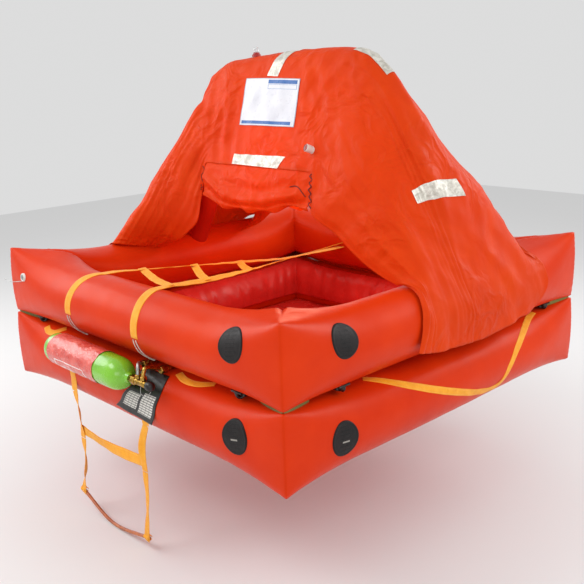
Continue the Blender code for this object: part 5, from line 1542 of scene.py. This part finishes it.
nut = brass_part("valve_nut", [(0.0, 0.0160), (0.002, 0.0175), (0.031, 0.0175), (0.034, 0.0160)],
                 VALVE, (1, 0, 0))
stem = brass_part("valve_stem", [(0.033, 0.0130), (0.052, 0.0130), (0.053, 0.0110), (0.060, 0.0110),
                                 (0.061, 0.0130), (0.094, 0.0130), (0.0995, 0.0105)],
                  VALVE, (1, 0, 0), 40)
joined("valve_machining", nut, stem, replaced=["valve_body"])
turned_piece("valve_cap", [(0.1003, 0.007), (0.104, 0.0155), (0.108, 0.0172), (0.122, 0.0175),
                           (0.128, 0.0160), (0.134, 0.011), (0.137, 0.005)],
             VALVE, (1, 0, 0), BLACK_PLASTIC, "valve_knob", slot="black_plastic")


def gas_pipe(name, node, leave, inlet, finish):
    start = VALVE + (leave, 0.0, 0.0135)
    inlet = np.array(inlet) - np.array([0.0, 0.0, AFLOAT])
    bend = np.array([start[0] + 0.2 * (inlet[0] - start[0]), BOTTLE_Y + 0.014, inlet[2] + 0.030])
    route = [start, start + (0, 0, 0.022), bend, inlet + (0, -0.045, 0.008), inlet]
    pipe = cord_piece(name, route, 0.0075, finish, sides=18, steps=48, slot="valve_brass")
    low_nut = brass_part(name + "_low", [(0.0, 0.0125), (0.0015, 0.0138), (0.0125, 0.0138),
                                         (0.014, 0.0125)], start + (0, 0, 0.001), (0, 0, 1))
    high_nut = brass_part(name + "_nut", [(-0.040, 0.0140), (-0.038, 0.0155), (-0.016, 0.0155),
                                          (-0.014, 0.0140)], inlet, (0, 1, 0))
    seat = brass_part(name + "_seat", [(-0.015, 0.0105), (0.045, 0.0105)], inlet, (0, 1, 0), 40)
    joined(name, pipe, low_nut, high_nut, seat, replaced=[node])


gas_pipe("left_gas_pipe", "upper_gas_pipe", 0.050, (0.098, -0.810, 0.262), STEEL)
gas_pipe("right_gas_pipe", "lower_gas_pipe", 0.082, (0.192, -0.800, 0.260), BRASS)
WIRE = ((0.078, -0.012, -0.010), (0.086, -0.018, -0.030), (0.104, -0.010, -0.040),
        (0.118, 0.002, -0.022))
cord_piece("release_wire", VALVE + WIRE, 0.0014, STEEL, steps=26, slot="valve_brass")

# %% [markdown]
# ## Label, patches and small fittings
# The information label is a black flap glued to the tube at its upper end, with a hem that
# hangs free. A patch or a valve cap is a round disc glued on a tube, with a rolled rim.

# %% Label and patches
LABEL_EDGES = ((63, 0.060, 0.222), (45, 0.068, 0.232), (27, 0.060, 0.235), (9, 0.018, 0.224),
               (-9, -0.012, 0.212))     # turn on the tube, left and right edge
PATCHES = (("front_upper", FRONT, 0.646, 24.4, UPPER, PATCH_PLAIN),
           ("front_lower", FRONT, 0.651, 8.9, LOWER, PATCH_PAINTED_GLINT),
           ("side_upper", RIGHT, -0.598, 26.2, UPPER, PATCH_PLAIN),
           ("side_lower", RIGHT, -0.615, 2.4, LOWER, PATCH_PAINTED_GLINT))


def lay_label(u, v):
    share = np.linspace(0.0, 1.0, 9)
    rows = [skin_at(FRONT, left + (right - left) * share, math.radians(turn), LOWER, 0.0024)
            for turn, left, right in LABEL_EDGES]
    hem = np.stack([-0.039 + (0.196 + 0.039) * share, np.full(9, rows[-1][0][1] - 0.002),
                    0.080 + (0.066 - 0.080) * share - AFLOAT], -1)
    table = np.array(rows + [hem])[::-1]
    down = np.array([smooth_line(table[:, k], 41) for k in range(9)])
    a, b = u * 8.0, np.rint(v * 40).astype(int)
    i = np.minimum(a.astype(int), 7)
    t = (a - i)[:, None]
    points = down[i, b] * (1 - t) + down[i + 1, b] * t
    free = np.clip(0.35 - v, 0.0, 1.0) / 0.35
    points[:, 1] -= free * (0.0015 + 0.0022 * np.sin(u * 5.0) ** 2)
    return points


label = laid_grid("information_label", 48, 40, lay_label)
give_thickness(label, 0.0012, 0.0)
complete(label, LABEL_SHEET, "cylinder_label", slot="black_fabric", angle=180.0)


def disc(name, side, distance, turn, level, radius, finish, rise, *replaced, slot):
    """A round patch glued on a tube, with a rolled rim."""
    turn = math.radians(turn)
    middle = skin_at(side, distance, turn, level)
    right_way = unit(skin_at(side, distance + 0.01, turn, level) - middle)
    upward = skin_at(side, distance, turn + 0.02, level) - middle
    upward = unit(upward - right_way * np.dot(upward, right_way))
    outward = np.cross(right_way, upward)
    outward *= np.sign(np.dot(outward, middle - np.array([0.0, 0.0, middle[2]])))
    turns = np.radians(np.linspace(-89.0, 89.0, 357))
    spans = np.linspace(-1.35, 1.35, 55) * radius
    surface = skin_at(side, distance + spans[None, :], turns[:, None], level)
    surface = surface.reshape(-1, 3) - middle
    flat = surface @ np.stack([right_way, upward], -1)

    def place(u, v):
        px, py = radius * v * np.cos(2.0 * math.pi * u), radius * v * np.sin(2.0 * math.pi * u)
        nearest = [np.argmin((flat[:, 0] - a) ** 2 + (flat[:, 1] - b) ** 2) for a, b in zip(px, py)]
        raised = rise * np.clip((1.0 - v) * 16.0, 0.0, 1.0) ** 0.5 + 0.0012
        raised = raised + 0.0010 * hump(v, 0.93, 0.035) - 0.0006 * hump(v, 0.80, 0.02)
        raised = np.where(v > 0.999, -0.0015, raised) + surface[nearest] @ outward
        return (middle + px[:, None] * right_way + py[:, None] * upward
                + raised[:, None] * outward)
    piece = laid_grid(name, 64, 22, place)
    sew_shut(piece, sides=80)
    offsets = corners_of(piece) - middle
    flat_map = np.stack([offsets @ right_way, offsets @ upward], -1) / (2 * radius) + 0.5
    layer = piece.data.uv_layers.active.data
    for loop in piece.data.loops:
        layer[loop.index].uv = flat_map[loop.vertex_index]
    complete(piece, finish, *replaced, slot=slot)


for word, side, distance, turn, level, finish in PATCHES:
    disc("patch_%s_disc" % word, side, distance, turn, level, 0.0600, finish, 0.0022,
         "relief_patch_" + word, slot="black_plastic")
disc("corner_valve_cap", FRONT, -0.725, 12.9, UPPER, 0.0180, WHITE_PLASTIC, 0.0050, "corner_valve",
     slot="white_plastic")
disc("corner_valve_face", FRONT, -0.725, 12.9, UPPER, 0.0115, STEEL, 0.0068, slot="white_plastic")
pin_start = skin_at(FRONT, -0.738, math.radians(5.0), UPPER, 0.004)
pin_end = np.array([-0.898, pin_start[1] - 0.004, pin_start[2] - 0.014])
pin_middle = (pin_start + pin_end) / 2 + np.array([0, -0.006, -0.006])
cord_piece("corner_valve_lanyard", [pin_start, pin_middle, pin_end], 0.0014, STEEL, steps=20,
           slot="black_plastic")

# %% [markdown]
# White cords tie each inner strap down into the crevice. Below the floor hang four limp
# ballast pockets, and a righting strap runs under the raft from front to rear.

# %% Tie cords and the underside
for node, x in (("left_tie_cords", -0.350), ("right_tie_cords", 0.118)):
    parts = []
    for offset in (-0.008, 0.008):
        swing = x + offset * (1.0 + 0.5 * np.sin(np.linspace(0, math.pi, 9)))
        points = skin_at(FRONT, swing, np.radians(np.linspace(-11.5, -63.0, 9)), UPPER, 0.0026)
        parts.append(cord_piece("cord", points, 0.0020, WHITE_CORD, steps=30, slot="white_cord"))
    end = skin_at(FRONT, x, math.radians(-63.0), UPPER, 0.0036)
    parts.append(cord_piece("joiner", [end - (0.018, 0, 0), end, end + (0.018, 0, 0)], 0.003,
                            WHITE_CORD, steps=8, slot="white_cord"))
    joined(node + "_knotted", *parts, replaced=[node])

POCKET_HALF, POCKET_DROP = 0.235, 0.052     # half of the bag's greatest width, and its depth
for number, (x, y) in enumerate(((-0.30, -0.30), (0.30, -0.30), (-0.30, 0.30), (0.30, 0.30))):
    pocket = added(bpy.ops.mesh.primitive_cube_add, size=1.0, location=(0.0, 0.0, 0.0))
    pocket.name = "ballast_bag_%d" % (number + 1)
    bpy.ops.object.mode_set(mode="EDIT")
    bpy.ops.mesh.subdivide(number_cuts=22)
    bpy.ops.object.mode_set(mode="OBJECT")
    points = corners_of(pocket)
    taper = np.where(points[:, 2] < 0, 1.0 - 0.18 * np.clip(-points[:, 2] * 2, 0, 1), 1.0)
    round_off = 1.0 - 0.06 * (np.abs(points[:, :2] * 2) ** 6).sum(axis=1) / 2
    points[:, :2] *= (POCKET_HALF * taper * round_off)[:, None]
    sag = 1.0 - 0.25 * (np.abs(points[:, :2] / 0.12) ** 3).sum(axis=1) / 2
    points[:, 2] = 0.0390 - AFLOAT - (0.5 - points[:, 2]) * POCKET_DROP * sag
    points += np.array([x, y, 0.0])
    shift = np.abs(0.0045 * wavy(points, 15.0, number * 2.0)
                   + 0.0020 * creased(points, 30.0, number))
    shift = shift * (points[:, 2] < 0.036 - AFLOAT)
    points[:, :2] += np.sign((x, y) - points[:, :2]) * shift[:, None]
    points[:, 2] += shift
    set_corners(pocket, points)
    complete(pocket, POCKET_CLOTH, "ballast_pocket_%d" % (number + 1), slot="black_fabric")

low = LOWER[0] - TUBE_RADIUS
seat, half = low + 0.0011, TUBE_LINE - 0.005
route = [(0.14, -half - 0.022, seat - 0.0012), (0.138, -half, seat - 0.005),
         (0.12, -half + 0.06, low - 0.030), (0.06, -0.45, -0.004), (0.03, -0.2, low + 0.006),
         (0.0, 0.2, low + 0.006), (0.0, 0.45, low + 0.002), (0.0, half, seat - 0.001),
         (0.0, half + 0.022, seat)]
strap("righting_web", smooth_line([(x, y, z - AFLOAT) for x, y, z in route], 110), (1, 0, 0), 0.028,
      "righting_strap", finish=ORANGE_WEB, slot="orange_webbing")

# %% [markdown]
# ## Last step

# %% Finish
print("finished")
